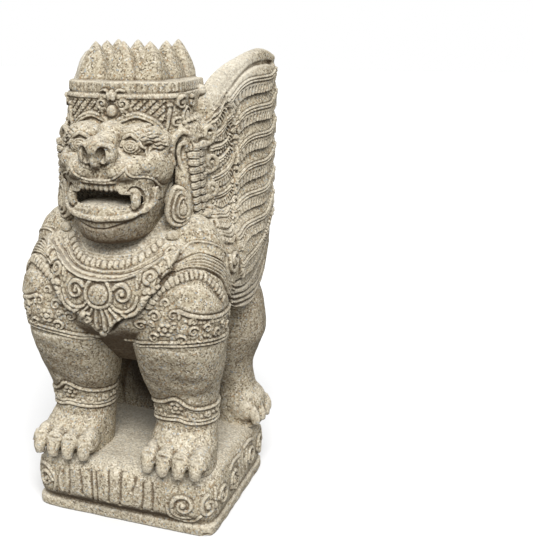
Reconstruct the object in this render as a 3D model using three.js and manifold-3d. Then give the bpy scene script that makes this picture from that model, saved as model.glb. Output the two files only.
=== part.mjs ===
// A standing winged lion in the manner of a Balinese garden guardian, carved with its plinth from one
// block of speckled stone. Millimetres, +Z up. The lion looks along -Y and its left side is +X.
// The origin is the middle of the plinth's underside.
import * as THREE from "three";
import { mergeVertices } from "three/addons/utils/BufferGeometryUtils.js";
import Module from "manifold-3d";

const wasm = await Module();
wasm.setup();

// Driving dimensions.
const HEIGHT = 800; // underside to the tips of the crown's petals
const PLINTH = { halfWidth: 166, halfDepth: 153, top: 114, slab: 18, groove: 4, bow: 0.11 };
const FLUTES = { count: 10, pitch: 15.5, relief: 5, low: 25, high: 104 };
const LEG = { x: 94, claws: -176 };
const CHEST = { front: -207, side: -145, halfWidth: 112 };
const COLLAR = { halfWidth: 104, y: -138, reach: 74, z: 505, drop: 59, relief: 8, width: 17 };
const BEADS = { halfWidth: 84, y: -124, reach: 66, z: 530, drop: 60, count: 15, relief: 10, width: 13 };
const PENDANT = { top: 446, tip: 358, jewel: 431, jewelRadius: 21, relief: 9 };
const CROWN = { halfWidth: 98, front: -118, back: 4, bottom: 656, top: 741, bow: 36, squareness: 10 };
const PETAL = { halfWidth: 26, halfDepth: 24, rowFront: -98, rowBack: -16, column: 49 };
const EYE = { x: 42, y: -184, z: 652 };
const WING = { tip: 777, outer: 167, thickness: 26, feathers: 8, relief: 6 };
const CAPE = { bands: 4, width: 44, relief: 6 };
const TOE = { halfWidth: 13, length: 30, height: 18, spacing: 27 };
const MOST_TRIANGLES = 10200;
const SLIVER_AREA = 12; // square millimetres

// Small number helpers.
const clamp = (v, low = 0, high = 1) => Math.min(high, Math.max(low, v));
const mix = (a, b, t) => a + (b - a) * t;
const smooth = (low, high, v) => {
  const t = clamp((v - low) / (high - low));
  return t * t * (3 - 2 * t);
};
// The coordinate of a circle that is pressed towards a square: 2 leaves it round.
const squared = (v, square) => (Math.abs(v) < 1e-6 ? 0 : Math.sign(v) * Math.abs(v) ** (2 / square));
const point = (x, y, z) => new THREE.Vector3(x, y, z);
const curve = (points) =>
  new THREE.CatmullRomCurve3(points.map((p) => point(...p)), false, "catmullrom", 0.5);
const RIGHT = point(1, 0, 0);
const BACK = point(0, 1, 0);
const UP = point(0, 0, 1);

// A closed geometry as a solid, whose shared corners are merged.
function solid(geometry) {
  const bare = geometry.index ? geometry.toNonIndexed() : geometry.clone();
  bare.deleteAttribute("normal");
  bare.deleteAttribute("uv");
  const merged = mergeVertices(bare, 1e-3);
  return new wasm.Manifold(
    new wasm.Mesh({
      numProp: 3,
      vertProperties: merged.attributes.position.array,
      triVerts: new Uint32Array(merged.index.array),
    }),
  );
}

// Moves each corner of a geometry to where place(x, y, z) says.
function deform(geometry, place) {
  const at = geometry.attributes.position;
  for (let i = 0; i < at.count; i += 1) {
    const p = place(at.getX(i), at.getY(i), at.getZ(i));
    at.setXYZ(i, p.x, p.y, p.z);
  }
  return geometry;
}

// The same shape on the lion's other side, with its faces turned round so that they still point out.
function mirrored(geometry) {
  const copy = (geometry.index ? geometry.toNonIndexed() : geometry.clone()).scale(-1, 1, 1);
  const at = copy.attributes.position;
  for (let i = 0; i < at.count; i += 3) {
    const a = point(at.getX(i), at.getY(i), at.getZ(i));
    at.setXYZ(i, at.getX(i + 1), at.getY(i + 1), at.getZ(i + 1));
    at.setXYZ(i + 1, a.x, a.y, a.z);
  }
  return copy;
}

const pair = (geometry) => [geometry, mirrored(geometry)];

// A limb or a block with one ring of corners for each row, from the lowest up: a row is
// [z, centre x, centre y, half width, half depth, squareness], where 2 is an ellipse and 8 nearly a box.
function loft(rows, sides, shape = (p) => p) {
  const sleeve = new THREE.CylinderGeometry(1, 1, 1, sides, rows.length - 1).rotateX(Math.PI / 2);
  return deform(sleeve, (x, y, z) => {
    const row = rows[Math.round(clamp(z + 0.5) * (rows.length - 1))];
    const [height, cx, cy, halfWidth, halfDepth, square] = row;
    const r = Math.hypot(x, y);
    const side = r < 1e-6 ? 0 : halfWidth * squared(x / r, square);
    const ahead = r < 1e-6 ? 0 : halfDepth * squared(y / r, square);
    return shape(point(cx + side, cy + ahead, height));
  });
}

// An egg-shaped swelling.
function swelling([x, y, z], [halfWidth, halfDepth, halfHeight], around = 8, rows = 5, turn = [0, 0, 0]) {
  const ball = new THREE.SphereGeometry(1, around, rows).rotateX(Math.PI / 2);
  ball.scale(halfWidth, halfDepth, halfHeight);
  ball.rotateX(turn[0]).rotateY(turn[1]).rotateZ(turn[2]);
  return ball.translate(x, y, z);
}

// A raised strip that follows a curve on the surface. outward(p, u) is the way the surface faces, u runs
// along the strip and v from -0.5 to 0.5 across it, and the strip is sunk by depth into the stone.
function strip(path, { width, relief, outward, depth = 8, steps = 8, columns = 1 }) {
  const bar = new THREE.BoxGeometry(1, 1, 1, steps, columns, 1);
  return deform(bar, (x, y, z) => {
    const u = clamp(x + 0.5);
    const along = path.getTangent(u);
    const on = path.getPoint(u);
    const up = outward(on, u).clone();
    up.addScaledVector(along, -up.dot(along)).normalize();
    const across = up.clone().cross(along);
    return on.addScaledVector(across, y * width(u)).addScaledVector(up, z > 0 ? relief(u, y) : -depth);
  });
}

// The height of a strip that is round on top: full in its middle and low at its two edges.
const roundTop = (relief) => (u, v) => (Math.abs(v) > 0.4 ? relief * 0.3 : relief);

// A scroll: a strip wound in on itself in the plane of right and up.
function scroll(centre, right, up, options) {
  const { radius, turns = 1.1, start = 0, hand = 1, width, relief = 5, steps = 7 } = options;
  const facing = right.clone().cross(up);
  const points = [];
  for (let i = 0; i <= steps; i += 1) {
    const t = i / steps;
    const r = radius * (1 - 0.72 * t);
    const a = start + hand * turns * 2 * Math.PI * t;
    const on = centre.clone().addScaledVector(right, r * Math.cos(a));
    points.push(on.addScaledVector(up, r * Math.sin(a)));
  }
  return strip(new THREE.CatmullRomCurve3(points), {
    width: (u) => width * (1 - 0.4 * u),
    relief: () => relief,
    outward: () => facing,
    depth: 10,
    steps,
  });
}

// A round boss or flower, a flat lathe form that faces out of the stone along facing.
function boss(centre, facing, radius, relief, sides = 8) {
  const profile = [
    [0, -8],
    [radius, -8],
    [radius, relief * 0.4],
    [radius * 0.62, relief * 0.45],
    [radius * 0.5, relief],
    [0, relief * 1.15],
  ].map(([r, h]) => new THREE.Vector2(r, h));
  const turn = new THREE.Quaternion().setFromUnitVectors(BACK, facing.clone().normalize());
  const round = new THREE.LatheGeometry(profile, sides).applyQuaternion(turn);
  return round.translate(centre.x, centre.y, centre.z);
}

// The plinth: a thin slab, a groove, and above it a block that swells like a cushion.
function plinthBlock() {
  const { halfWidth: w, halfDepth: d, top, slab, groove, bow } = PLINTH;
  const rows = [
    [0, 0, 0, w - 1, d - 1, 14],
    [slab - 3, 0, 0, w, d, 14],
    [slab, 0, 0, w - 5, d - 5, 14],
    [slab + groove, 0, 0, w - 6, d - 5, 13],
    [slab + groove + 14, 0, 0, w, d + 2, 10],
    [top - 40, 0, 0, w + 3, d + 5, 8],
    [top - 17, 0, 0, w, d + 1, 7],
    [top - 5, 0, 0, w - 9, d - 9, 6],
    [top, 0, 0, w - 22, d - 24, 6],
  ];
  // The front bows forward under the toes.
  const forward = (p) => {
    const share = smooth(slab, slab + 30, p.z) * (1 - (p.x / w) ** 2 * 0.8);
    return point(p.x, p.y < 0 ? p.y * (1 + bow * share) : p.y, p.z);
  };
  return loft(rows, 36, forward);
}

// How far forward the plinth's front is.
const plinthFront = (x, z) => {
  const straight = PLINTH.halfDepth + 4 - 30 * smooth(88, 122, z);
  return -straight * (1 + PLINTH.bow * (1 - (x / PLINTH.halfWidth) ** 2 * 0.8));
};

// The plinth's carving: a fan of flutes in the middle of the front and scrolls towards the corners.
function plinthCarving() {
  const parts = [];
  const fan = new THREE.BoxGeometry(1, 1, 1, FLUTES.count * 2, 1, 3);
  const halfFan = (FLUTES.count * FLUTES.pitch) / 2;
  parts.push(
    deform(fan, (x, y, z) => {
      const t = z + 0.5;
      const height = mix(FLUTES.low, FLUTES.high, t);
      const column = Math.round((x + 0.5) * FLUTES.count * 2);
      const px = 2 * x * halfFan * (0.93 + 0.12 * t * t);
      const rise = column % 2 ? FLUTES.relief : -3;
      const out = Math.min(t, 1 - t) < 0.01 ? -1.5 : rise;
      return point(px, plinthFront(px, height) + (y < 0 ? -out : 22), height);
    }),
  );
  const onFront = (x, z, options) =>
    parts.push(...pair(scroll(point(x, plinthFront(x, z) + 1, z), RIGHT, UP, { width: 10, ...options })));
  onFront(114, 56, { radius: 25, start: -1.2 });
  onFront(146, 64, { radius: 17, start: 2.2, hand: -1 });
  for (const [y, start, hand] of [
    [-104, 4.4, -1],
    [-48, 4.4, -1],
    [48, -1.3, 1],
    [104, -1.3, 1],
  ]) {
    const onSide = point(PLINTH.halfWidth, y, 60);
    parts.push(...pair(scroll(onSide, BACK, UP, { radius: 25, start, hand, width: 11, relief: 6 })));
  }
  return parts;
}

// The trunk: belly, deep chest, neck and the back of the mane.
function trunk() {
  const rows = [
    [258, 0, 8, 50, 45, 2.2],
    [278, 0, -8, 98, 90, 2.3],
    [320, 0, -28, 128, 120, 2.4],
    [362, 0, -45, 148, 150, 2.4],
    [400, 0, -53, 158, 153, 2.5],
    [440, 0, -55, 156, 151, 2.5],
    [472, 0, -50, 152, 138, 2.5],
    [505, 0, -38, 140, 122, 2.4],
    [545, 0, -26, 114, 104, 2.5],
    [610, 0, -20, 106, 74, 2.6],
    [700, 0, -40, 94, 50, 3],
  ];
  return loft(rows, 24);
}

// A foreleg from the plinth to the top of its shoulder, with its anklet and armband. The bands rise a
// little towards the front, as they are drawn from the leg's inner side.
function foreleg() {
  const rows = [
    [104, 99, -100, 54, 54, 2.6],
    [140, 99, -98, 56, 60, 2.5],
    [176, 95, -83, 51, 53, 2.3],
    [179, 95, -83, 56, 58, 2.3],
    [190, 95, -83, 56, 58, 2.3],
    [193, 95, -83, 53, 55, 2.3],
    [202, 95, -83, 53, 55, 2.3],
    [205, 95, -83, 57, 59, 2.3],
    [214, 95, -84, 57, 59, 2.3],
    [217, 95, -84, 53, 55, 2.3],
    [246, 92, -91, 60, 61, 2.4],
    [285, LEG.x - 1, -101, 69, 70, 2.4],
    [323, LEG.x, -111, 71, 76, 2.4],
    [326, LEG.x, -112, 75, 80, 2.4],
    [336, LEG.x, -114, 75, 81, 2.4],
    [339, 95, -115, 73, 79, 2.4],
    [380, 96, -118, 75, 81, 2.4],
    [383, 96, -118, 79, 85, 2.4],
    [391, 96, -117, 79, 85, 2.4],
    [394, 96, -117, 75, 81, 2.4],
    [432, 94, -108, 76, 83, 2.3],
    [470, 86, -96, 74, 79, 2.2],
    [500, 74, -84, 66, 66, 2.1],
    [520, 60, -74, 40, 42, 2],
  ];
  return loft(rows, 16);
}

// A hind leg: heavy thigh, narrow ankle and a short foot.
function hindleg() {
  const rows = [
    [104, 127, 108, 38, 36, 2.8],
    [150, 126, 107, 38, 38, 2.6],
    [190, 116, 104, 38, 42, 2.3],
    [225, 108, 98, 45, 50, 2.2],
    [257, 110, 96, 54, 55, 2.2],
    [290, 115, 94, 59, 58, 2.2],
    [331, 119, 90, 61, 62, 2.2],
    [380, 110, 86, 58, 62, 2.2],
    [430, 80, 74, 42, 46, 2],
  ];
  return loft(rows, 16);
}

// The rump closes the back between the hind legs, and leans forward as it rises.
function rump() {
  const rows = [
    [104, 0, 106, 112, 42, 3],
    [200, 0, 106, 106, 44, 2.8],
    [270, 0, 102, 110, 50, 2.6],
    [340, 0, 90, 118, 59, 2.5],
    [400, 0, 66, 122, 66, 2.5],
    [460, 0, 30, 112, 66, 2.4],
  ];
  return loft(rows, 18);
}

// Toes: a row of swellings, each with a blunt claw. ahead is the way they point.
function toes(middle, ahead, spacing, [halfWidth, length, height]) {
  const parts = [];
  const aside = UP.clone().cross(ahead).normalize();
  const turn = Math.atan2(ahead.y, ahead.x) + Math.PI / 2;
  for (const step of [-1.5, -0.5, 0.5, 1.5]) {
    const at = middle.clone().addScaledVector(aside, step * spacing);
    at.addScaledVector(ahead, -2 * step * step);
    parts.push(swelling(at.toArray(), [halfWidth, length, height], 7, 5, [0.35, 0, turn]));
    const claw = new THREE.ConeGeometry(halfWidth * 0.7, 30, 5).rotateX(Math.PI / 2 + 0.7).rotateZ(turn);
    const tip = at.clone().addScaledVector(ahead, length * 0.72);
    parts.push(claw.translate(tip.x, tip.y, tip.z - height * 0.5));
  }
  return parts;
}

function feet() {
  const { halfWidth, length, height, spacing } = TOE;
  const pad = loft(
    [
      [106, 101, -120, 55, 46, 2.6],
      [132, 101, -116, 55, 48, 2.6],
      [158, 98, -104, 52, 44, 2.5],
      [180, 95, -88, 46, 40, 2.3],
    ],
    14,
  );
  const fore = toes(point(101, LEG.claws + 26, 136), point(0, -1, 0), spacing, [halfWidth, length, height]);
  const hind = toes(point(148, 107, 142), point(1, 0, 0), 19, [10, 24, 17]);
  return [pad, ...fore, ...hind].flatMap(pair);
}

// The head, chin to brow, with a broad muzzle.
function skull() {
  const rows = [
    [497, 0, -152, 26, 42, 2.2],
    [508, 0, -136, 48, 66, 2.3],
    [530, 0, -124, 63, 84, 2.4],
    [561, 0, -116, 76, 94, 2.5],
    [590, 0, -112, 80, 98, 2.5],
    [618, 0, -108, 86, 98, 2.5],
    [640, 0, -104, 87, 90, 2.5],
    [665, 0, -100, 88, 72, 2.7],
    [700, 0, -96, 88, 56, 3],
  ];
  return loft(rows, 20);
}

function faceSwellings() {
  const sides = [
    swelling([36, -184, 612], [34, 34, 24], 9, 6), // whisker pad
    swelling([66, -146, 616], [25, 46, 34], 8, 5), // cheek
    swelling([48, -150, 680], [38, 30, 18], 9, 5, [-0.2, 0.1, 0.15]), // brow pad
    swelling([EYE.x, EYE.y, EYE.z], [22, 11, 15], 8, 6, [0, 0.15, 0.3]), // eye and its lids
    swelling([17, -212, 645], [14, 16, 13], 7, 5), // nostril wing
    swelling([61, -172, 568], [8, 9, 18], 6, 4), // tusk
  ];
  return [
    ...sides.flatMap(pair),
    swelling([0, -198, 650], [22, 30, 20], 9, 6), // nose
    swelling([0, -164, 677], [16, 22, 19], 8, 5), // bulb between the brows
  ];
}

// The open mouth.
function mouth() {
  const rows = [
    [556, 0, -164, 46, 40, 2.4],
    [562, 0, -168, 66, 60, 2.6],
    [580, 0, -170, 70, 66, 2.6],
    [590, 0, -172, 60, 60, 2.6],
  ];
  return loft(rows, 16);
}

function lips() {
  const lipCurve = ([halfWidth, y, reach, z], lift) =>
    new THREE.CatmullRomCurve3(
      [-1, -0.8, -0.5, 0, 0.5, 0.8, 1].map((s) => {
        const a = (s * Math.PI) / 2.1;
        return point(halfWidth * Math.sin(a), y - reach * Math.cos(a), z + lift(s));
      }),
    );
  const outward = (p) => point(p.x * 0.9, p.y + 120, 0).normalize();
  const lower = lipCurve([77, -130, 84, 547], (s) => 34 * s ** 4);
  const upper = lipCurve([80, -128, 88, 597], (s) => 8 * Math.sin(Math.abs(s) * Math.PI) - 8 * s ** 4);
  const round = { outward, depth: 12, steps: 10 };
  return [
    strip(lower, { width: () => 15, relief: roundTop(7), columns: 2, ...round }),
    strip(upper, { width: () => 7, relief: () => 4, ...round }),
    swelling([0, -158, 556], [46, 42, 9], 10, 4), // tongue
  ];
}

function ears() {
  const rim = new THREE.TorusGeometry(14, 7, 4, 8).scale(0.8, 1.35, 1.4);
  rim.rotateY(Math.PI / 2).rotateZ(-0.35).translate(97, -110, 642);
  const strap = swelling([98, -112, 600], [13, 15, 34], 6, 4, [0.1, 0, 0]);
  const drop = swelling([104, -124, 552], [15, 17, 24], 8, 5, [0.15, 0.1, 0]);
  return [rim, strap, drop].flatMap(pair);
}

// The crown: a block bowed at the front, with a frieze on top and a plain moulding below it.
const crownFront = (x) => CROWN.front - CROWN.bow * (1 - (x / CROWN.halfWidth) ** 2);

function crownBlock() {
  const middle = (CROWN.front + CROWN.back) / 2;
  const halfDepth = (CROWN.back - CROWN.front) / 2;
  const row = (z, inset) => [z, 0, middle, CROWN.halfWidth - inset, halfDepth - inset, CROWN.squareness];
  const band = [row(CROWN.bottom, 0), row(713, 2), row(714, -2), row(721, -2), row(722, 2)];
  const frieze = [row(724, 5), row(738, 6), row(CROWN.top, 9)];
  const bowed = (p) => {
    const share = smooth(middle, CROWN.front * 0.8, p.y);
    return point(p.x, p.y - CROWN.bow * (1 - (p.x / CROWN.halfWidth) ** 2) * share, p.z);
  };
  return loft([...band, ...frieze], 30, bowed);
}

// The crown's carving: arches over the brows, scrolls round a jewel, and a motif above each ear.
function crownCarving() {
  const forward = point(0, -1, 0);
  const onFront = (x, z) => [x, crownFront(x), z];
  const overBrow = [onFront(12, 676), onFront(32, 692), onFront(54, 696), onFront(76, 686)];
  const archShape = { width: () => 9, relief: () => 6, outward: () => forward, steps: 7 };
  const parts = pair(strip(curve([...overBrow, onFront(92, 660)]), archShape));
  parts.push(boss(point(0, crownFront(0), 697), forward, 13, 8));
  const curl = (x, z, radius, hand) => {
    const shape = { radius, start: 3, hand, width: 6, steps: 6 };
    parts.push(...pair(scroll(point(...onFront(x, z)), RIGHT, UP, shape)));
  };
  curl(23, 707, 10, -1);
  curl(19, 683, 8, 1);
  parts.push(...pair(boss(point(CROWN.halfWidth - 2, -76, 694), RIGHT, 15, 7)));
  for (const [y, z, hand] of [
    [-100, 708, 1],
    [-52, 708, -1],
    [-74, 670, -1],
  ]) {
    const shape = { radius: 12, hand, width: 7, relief: 7, steps: 6 };
    parts.push(...pair(scroll(point(CROWN.halfWidth - 2, y, z), BACK, UP, shape)));
  }
  return parts;
}

// Eight pointed petals stand round the crown's flat top.
function petals() {
  const rise = HEIGHT - CROWN.top + 6;
  const profile = [
    [0, 0],
    [1, 0],
    [1, 0.28],
    [0.72, 0.66],
    [0, 1],
  ].map(([r, h]) => new THREE.Vector2(r, h));
  const parts = [];
  const rowMiddle = (PETAL.rowFront + PETAL.rowBack) / 2;
  for (const y of [PETAL.rowFront, rowMiddle, PETAL.rowBack])
    for (const column of [-1, 0, 1]) {
      if (column === 0 && y === rowMiddle) continue;
      const bud = new THREE.LatheGeometry(profile, 8).rotateX(Math.PI / 2);
      bud.scale(PETAL.halfWidth, PETAL.halfDepth, rise);
      const forward = column === 0 && y === PETAL.rowFront ? 8 : 0;
      parts.push(bud.translate(column * PETAL.column, y - forward, CROWN.top - 6));
    }
  return parts;
}

// The wing's outer face as a function of its place: it flares outwards towards the back.
function wingFace(y, z) {
  const flare = (1 - clamp((y + 40) / 110)) ** 2 * smooth(455, 560, z);
  const foot = smooth(430, 350, z);
  return WING.outer - 46 * flare - 8 * foot;
}

// The wing's lines from front to back, as [x, y, z]: the foot of the feathers, and above them the groove
// behind the smooth leading bevel, the bevel's ridge and the far side of the ridge.
const wingFoot = curve([
  [163, -38, 404],
  [158, 4, 366],
  [162, 60, 386],
  [162, 148, 446],
]);
const wingGroove = curve([
  [118, -36, 676],
  [130, -18, 706],
  [146, 20, 740],
  [157, 62, 756],
  [166, 148, 762],
]);
const wingRidge = curve([
  [97, -42, 704],
  [108, -18, 741],
  [126, 16, 762],
  [143, 72, WING.tip],
  [154, 142, 768],
]);
// The front edge runs down behind the curls, and the bevel's ridge lies in front of it.
const wingFront = (v, inward) => {
  const z = mix(404, 676, v);
  const y = -38 - 14 * Math.sin(Math.PI * v);
  return point(wingFace(y, z) - inward * WING.thickness, y - inward * 16, z + inward * 24 * v);
};

function wing() {
  const rows = WING.feathers * 2;
  const columns = [0, 0.1, 0.26, 0.31, 0.37, 0.5, 0.68, 0.86, 1];
  const slab = new THREE.BoxGeometry(1, 1, 1, columns.length - 1, rows, 3);
  // x runs from the front edge to the back one, y from the foot to the groove, z from inside to outside.
  return deform(slab, (x, y, z) => {
    const column = Math.round((x + 0.5) * (columns.length - 1));
    const row = Math.round((y + 0.5) * rows);
    const layer = Math.round((z + 0.5) * 3);
    const across = columns[column];
    // A feather is two rows: its groove, and close above it the crest of the next one.
    const v = clamp((Math.floor(row / 2) + (row % 2 ? 0.3 : 0)) / WING.feathers);
    const inward = layer === 3 ? 0 : layer === 2 ? 0.6 : 1;
    const foot = wingFoot.getPoint(across);
    const top = wingGroove.getPoint(across).lerp(wingRidge.getPoint(across), inward);
    const front = wingFront(v, inward);
    const on = foot.clone().lerp(top, v);
    on.z += 7 * Math.sin(2 * Math.PI * across) * Math.sin(Math.PI * v);
    on.lerp(point(front.x, front.y, front.z), (1 - across) ** 3 * (v < 1 ? 1 : 0));
    if (layer === 3) {
      const inside = column > 0 && column < columns.length - 1 && row > 0 && row < rows;
      const crest = row % 2 ? WING.relief : -2;
      const midline = column === 3 ? 4 : 0;
      on.x = wingFace(on.y, on.z) + (inside ? Math.max(crest, midline) : 0);
    } else if (row < rows) {
      on.x = wingFace(on.y, on.z) - inward * WING.thickness;
    }
    if (layer === 0) {
      on.x = Math.min(on.x - 14, 98 + (on.y + 40) * 0.13);
      on.z -= 18 * v * v;
    }
    if (column === columns.length - 1 && layer > 0 && layer < 3) on.y += 4;
    return on;
  });
}

// The cape of the shoulder ends in parallel bands: they rise from the chest over the shoulder, dip behind
// it and sweep up along the foot of the wing.
function cape() {
  const edge = curve([
    [84, -187, 412],
    [106, -176, 448],
    [128, -150, 474],
    [146, -108, 484],
    [161, -60, 466],
    [166, -24, 416],
    [162, 8, 378],
    [165, 54, 390],
    [164, 100, 416],
    [160, 147, 450],
  ]);
  const outward = (p) => {
    const ahead = Math.max(0, -60 - p.y);
    return point(p.x - 60, -ahead * 1.1, ahead * 0.3).normalize();
  };
  const columns = CAPE.bands * 2;
  const relief = (u, v) => (Math.round((v + 0.5) * columns) % 2 ? CAPE.relief : 0);
  const width = (u) => CAPE.width * (0.75 + 0.25 * Math.sin(Math.PI * u));
  const bands = strip(edge, { width, relief, outward, steps: 13, columns, depth: 18 });
  const knotShape = { radius: 17, start: 1.2, hand: -1, width: 8, relief: 6 };
  const knot = scroll(point(166, -34, 470), BACK, UP, knotShape);
  return [bands, knot].flatMap(pair);
}

// The locks beside the wing, which end in curls, and the braid in front of them.
function curls() {
  const parts = [];
  for (const [x, y, z] of [
    [114, -66, 668],
    [117, -50, 618],
    [119, -48, 574],
    [126, -46, 536],
  ])
    parts.push(...pair(boss(point(x, y, z), point(1, -0.6, 0), 17, 11, 8)));
  const braid = [];
  for (let i = 0; i < 12; i += 1) {
    const out = i % 2 ? 0 : -5;
    braid.push([520 + i * 12.5, 102, -86, 18 + out, 26 + out, 3]);
  }
  parts.push(...pair(loft(braid, 8)));
  return parts;
}

// The necklace: beads, a round collar, and the pendant with its jewel and scrolls.
const chestAt = (x) => mix(CHEST.front, CHEST.side, (Math.abs(x) / CHEST.halfWidth) ** 2.2);

function pendantPlate() {
  const outline = new THREE.Shape();
  outline.moveTo(0, PENDANT.top);
  for (const side of [-1, 1]) {
    const steps = [
      [60, 452, 112, 486],
      [112, 430, 84, 418],
      [64, 398, 40, 392],
      [26, 366, 0, PENDANT.tip],
    ];
    if (side < 0) {
      for (const [cx, cz, x, z] of steps) outline.quadraticCurveTo(-cx, cz, -x, z);
    } else {
      for (let i = steps.length - 1; i >= 0; i -= 1) {
        const [endX, endZ] = i ? steps[i - 1].slice(2) : [0, PENDANT.top];
        outline.quadraticCurveTo(steps[i][0], steps[i][1], endX, endZ);
      }
    }
  }
  const plate = new THREE.ExtrudeGeometry(outline, { depth: 1, bevelEnabled: false, curveSegments: 3 });
  return deform(plate, (x, z, front) => point(x, chestAt(x) + (front > 0.5 ? -PENDANT.relief : 34), z));
}

function necklace() {
  const ringCurve = ({ halfWidth, y, reach, z, drop }, span) =>
    new THREE.CatmullRomCurve3(
      [-1, -0.75, -0.5, -0.25, 0, 0.25, 0.5, 0.75, 1].map((s) => {
        const a = s * span;
        return point(halfWidth * Math.sin(a), y - reach * Math.cos(a), z - drop * Math.cos(a));
      }),
    );
  const outward = (p) => point(p.x, p.y + 70, 0).normalize().add(point(0, 0, 0.25));
  const beadEdge = (u) => Math.round(u * BEADS.count * 2) % 2;
  const parts = [
    strip(ringCurve(COLLAR, 1.75), {
      width: () => COLLAR.width,
      relief: roundTop(COLLAR.relief),
      outward,
      steps: 14,
      columns: 2,
      depth: 16,
    }),
    strip(ringCurve(BEADS, 1.35), {
      width: (u) => BEADS.width * (beadEdge(u) ? 1 : 0.5),
      relief: (u) => (beadEdge(u) ? BEADS.relief : 2),
      outward,
      steps: BEADS.count * 2,
      depth: 12,
    }),
    pendantPlate(),
  ];
  const jewelAt = point(0, CHEST.front - PENDANT.relief + 1, PENDANT.jewel);
  parts.push(boss(jewelAt, point(0, -1, 0), PENDANT.jewelRadius, 8, 12));
  const curl = (x, z, options) => {
    const across = RIGHT.clone().applyAxisAngle(UP, Math.atan2(x, 150));
    const middle = point(x, chestAt(x) - PENDANT.relief, z);
    parts.push(...pair(scroll(middle, across, UP, { width: 8, relief: 6, start: 2, ...options })));
  };
  curl(40, 424, { radius: 16, hand: -1 });
  curl(84, 448, { radius: 16 });
  curl(14, 384, { radius: 10, hand: -1, steps: 6 });
  return parts;
}

// The flower and scrolls of each armband and the flower of each anklet.
function bandFlowers() {
  const forward = point(0, -1, 0);
  const onArmband = boss(point(LEG.x, -197, 360), forward, 16, 8);
  const onAnklet = boss(point(LEG.x, -142, 204), forward, 13, 6);
  const parts = [onArmband, onAnklet];
  for (const [x, hand] of [
    [LEG.x - 32, 1],
    [LEG.x + 32, -1],
  ]) {
    const shape = { radius: 13, start: 1.6, hand, width: 7, steps: 6 };
    parts.push(scroll(point(x, -188, 360), RIGHT, UP, shape));
  }
  return parts.flatMap(pair);
}

// The tail lies up the back between the wings and ends in a tuft.
function tail() {
  const path = curve([
    [0, 148, 150],
    [0, 150, 230],
    [0, 149, 300],
    [0, 130, 390],
    [0, 92, 470],
    [0, 78, 520],
  ]);
  const outward = () => point(0, 1, 0.25);
  const width = (u) => 22 - 5 * u;
  const rope = strip(path, { width, relief: roundTop(9), outward, steps: 7, columns: 2, depth: 20 });
  return [rope, swelling([0, 72, 548], [24, 18, 38], 8, 5, [-0.2, 0, 0])];
}

function carve() {
  const legs = [...pair(foreleg()), ...pair(hindleg())];
  const mass = [plinthBlock(), trunk(), rump(), ...legs, skull(), crownBlock()];
  const carving = [
    ...lips(),
    ...ears(),
    ...crownCarving(),
    ...petals(),
    ...pair(wing()),
    ...cape(),
    ...curls(),
    ...necklace(),
    ...bandFlowers(),
    ...feet(),
    ...plinthCarving(),
    ...tail(),
  ];
  const joined = (parts, start) => parts.map(solid).reduce((whole, part) => whole.add(part), start);
  const body = joined(mass.slice(1), solid(mass[0]));
  return joined(carving, joined(faceSwellings(), body).subtract(solid(mouth())));
}

// The squared distance to the plane of a triangle as the ten numbers of a quadric. Slivers count for
// little, and the faces of small carving count for as much as those of the great round forms.
function planeQuadric(a, b, c) {
  const normal = b.clone().sub(a).cross(c.clone().sub(a));
  const area = normal.length() / 2;
  if (area < 1e-9) return new Array(10).fill(0);
  normal.normalize();
  const { x, y, z } = normal;
  const d = -normal.dot(a);
  const weight = area / (area + SLIVER_AREA);
  return [x * x, x * y, x * z, x * d, y * y, y * z, y * d, z * z, z * d, d * d].map((v) => v * weight);
}

function quadricAt(q, { x, y, z }) {
  const squares = q[0] * x * x + q[4] * y * y + q[7] * z * z;
  const products = q[1] * x * y + q[2] * x * z + q[5] * y * z;
  return squares + 2 * (products + q[3] * x + q[6] * y + q[8] * z) + q[9];
}

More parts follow.
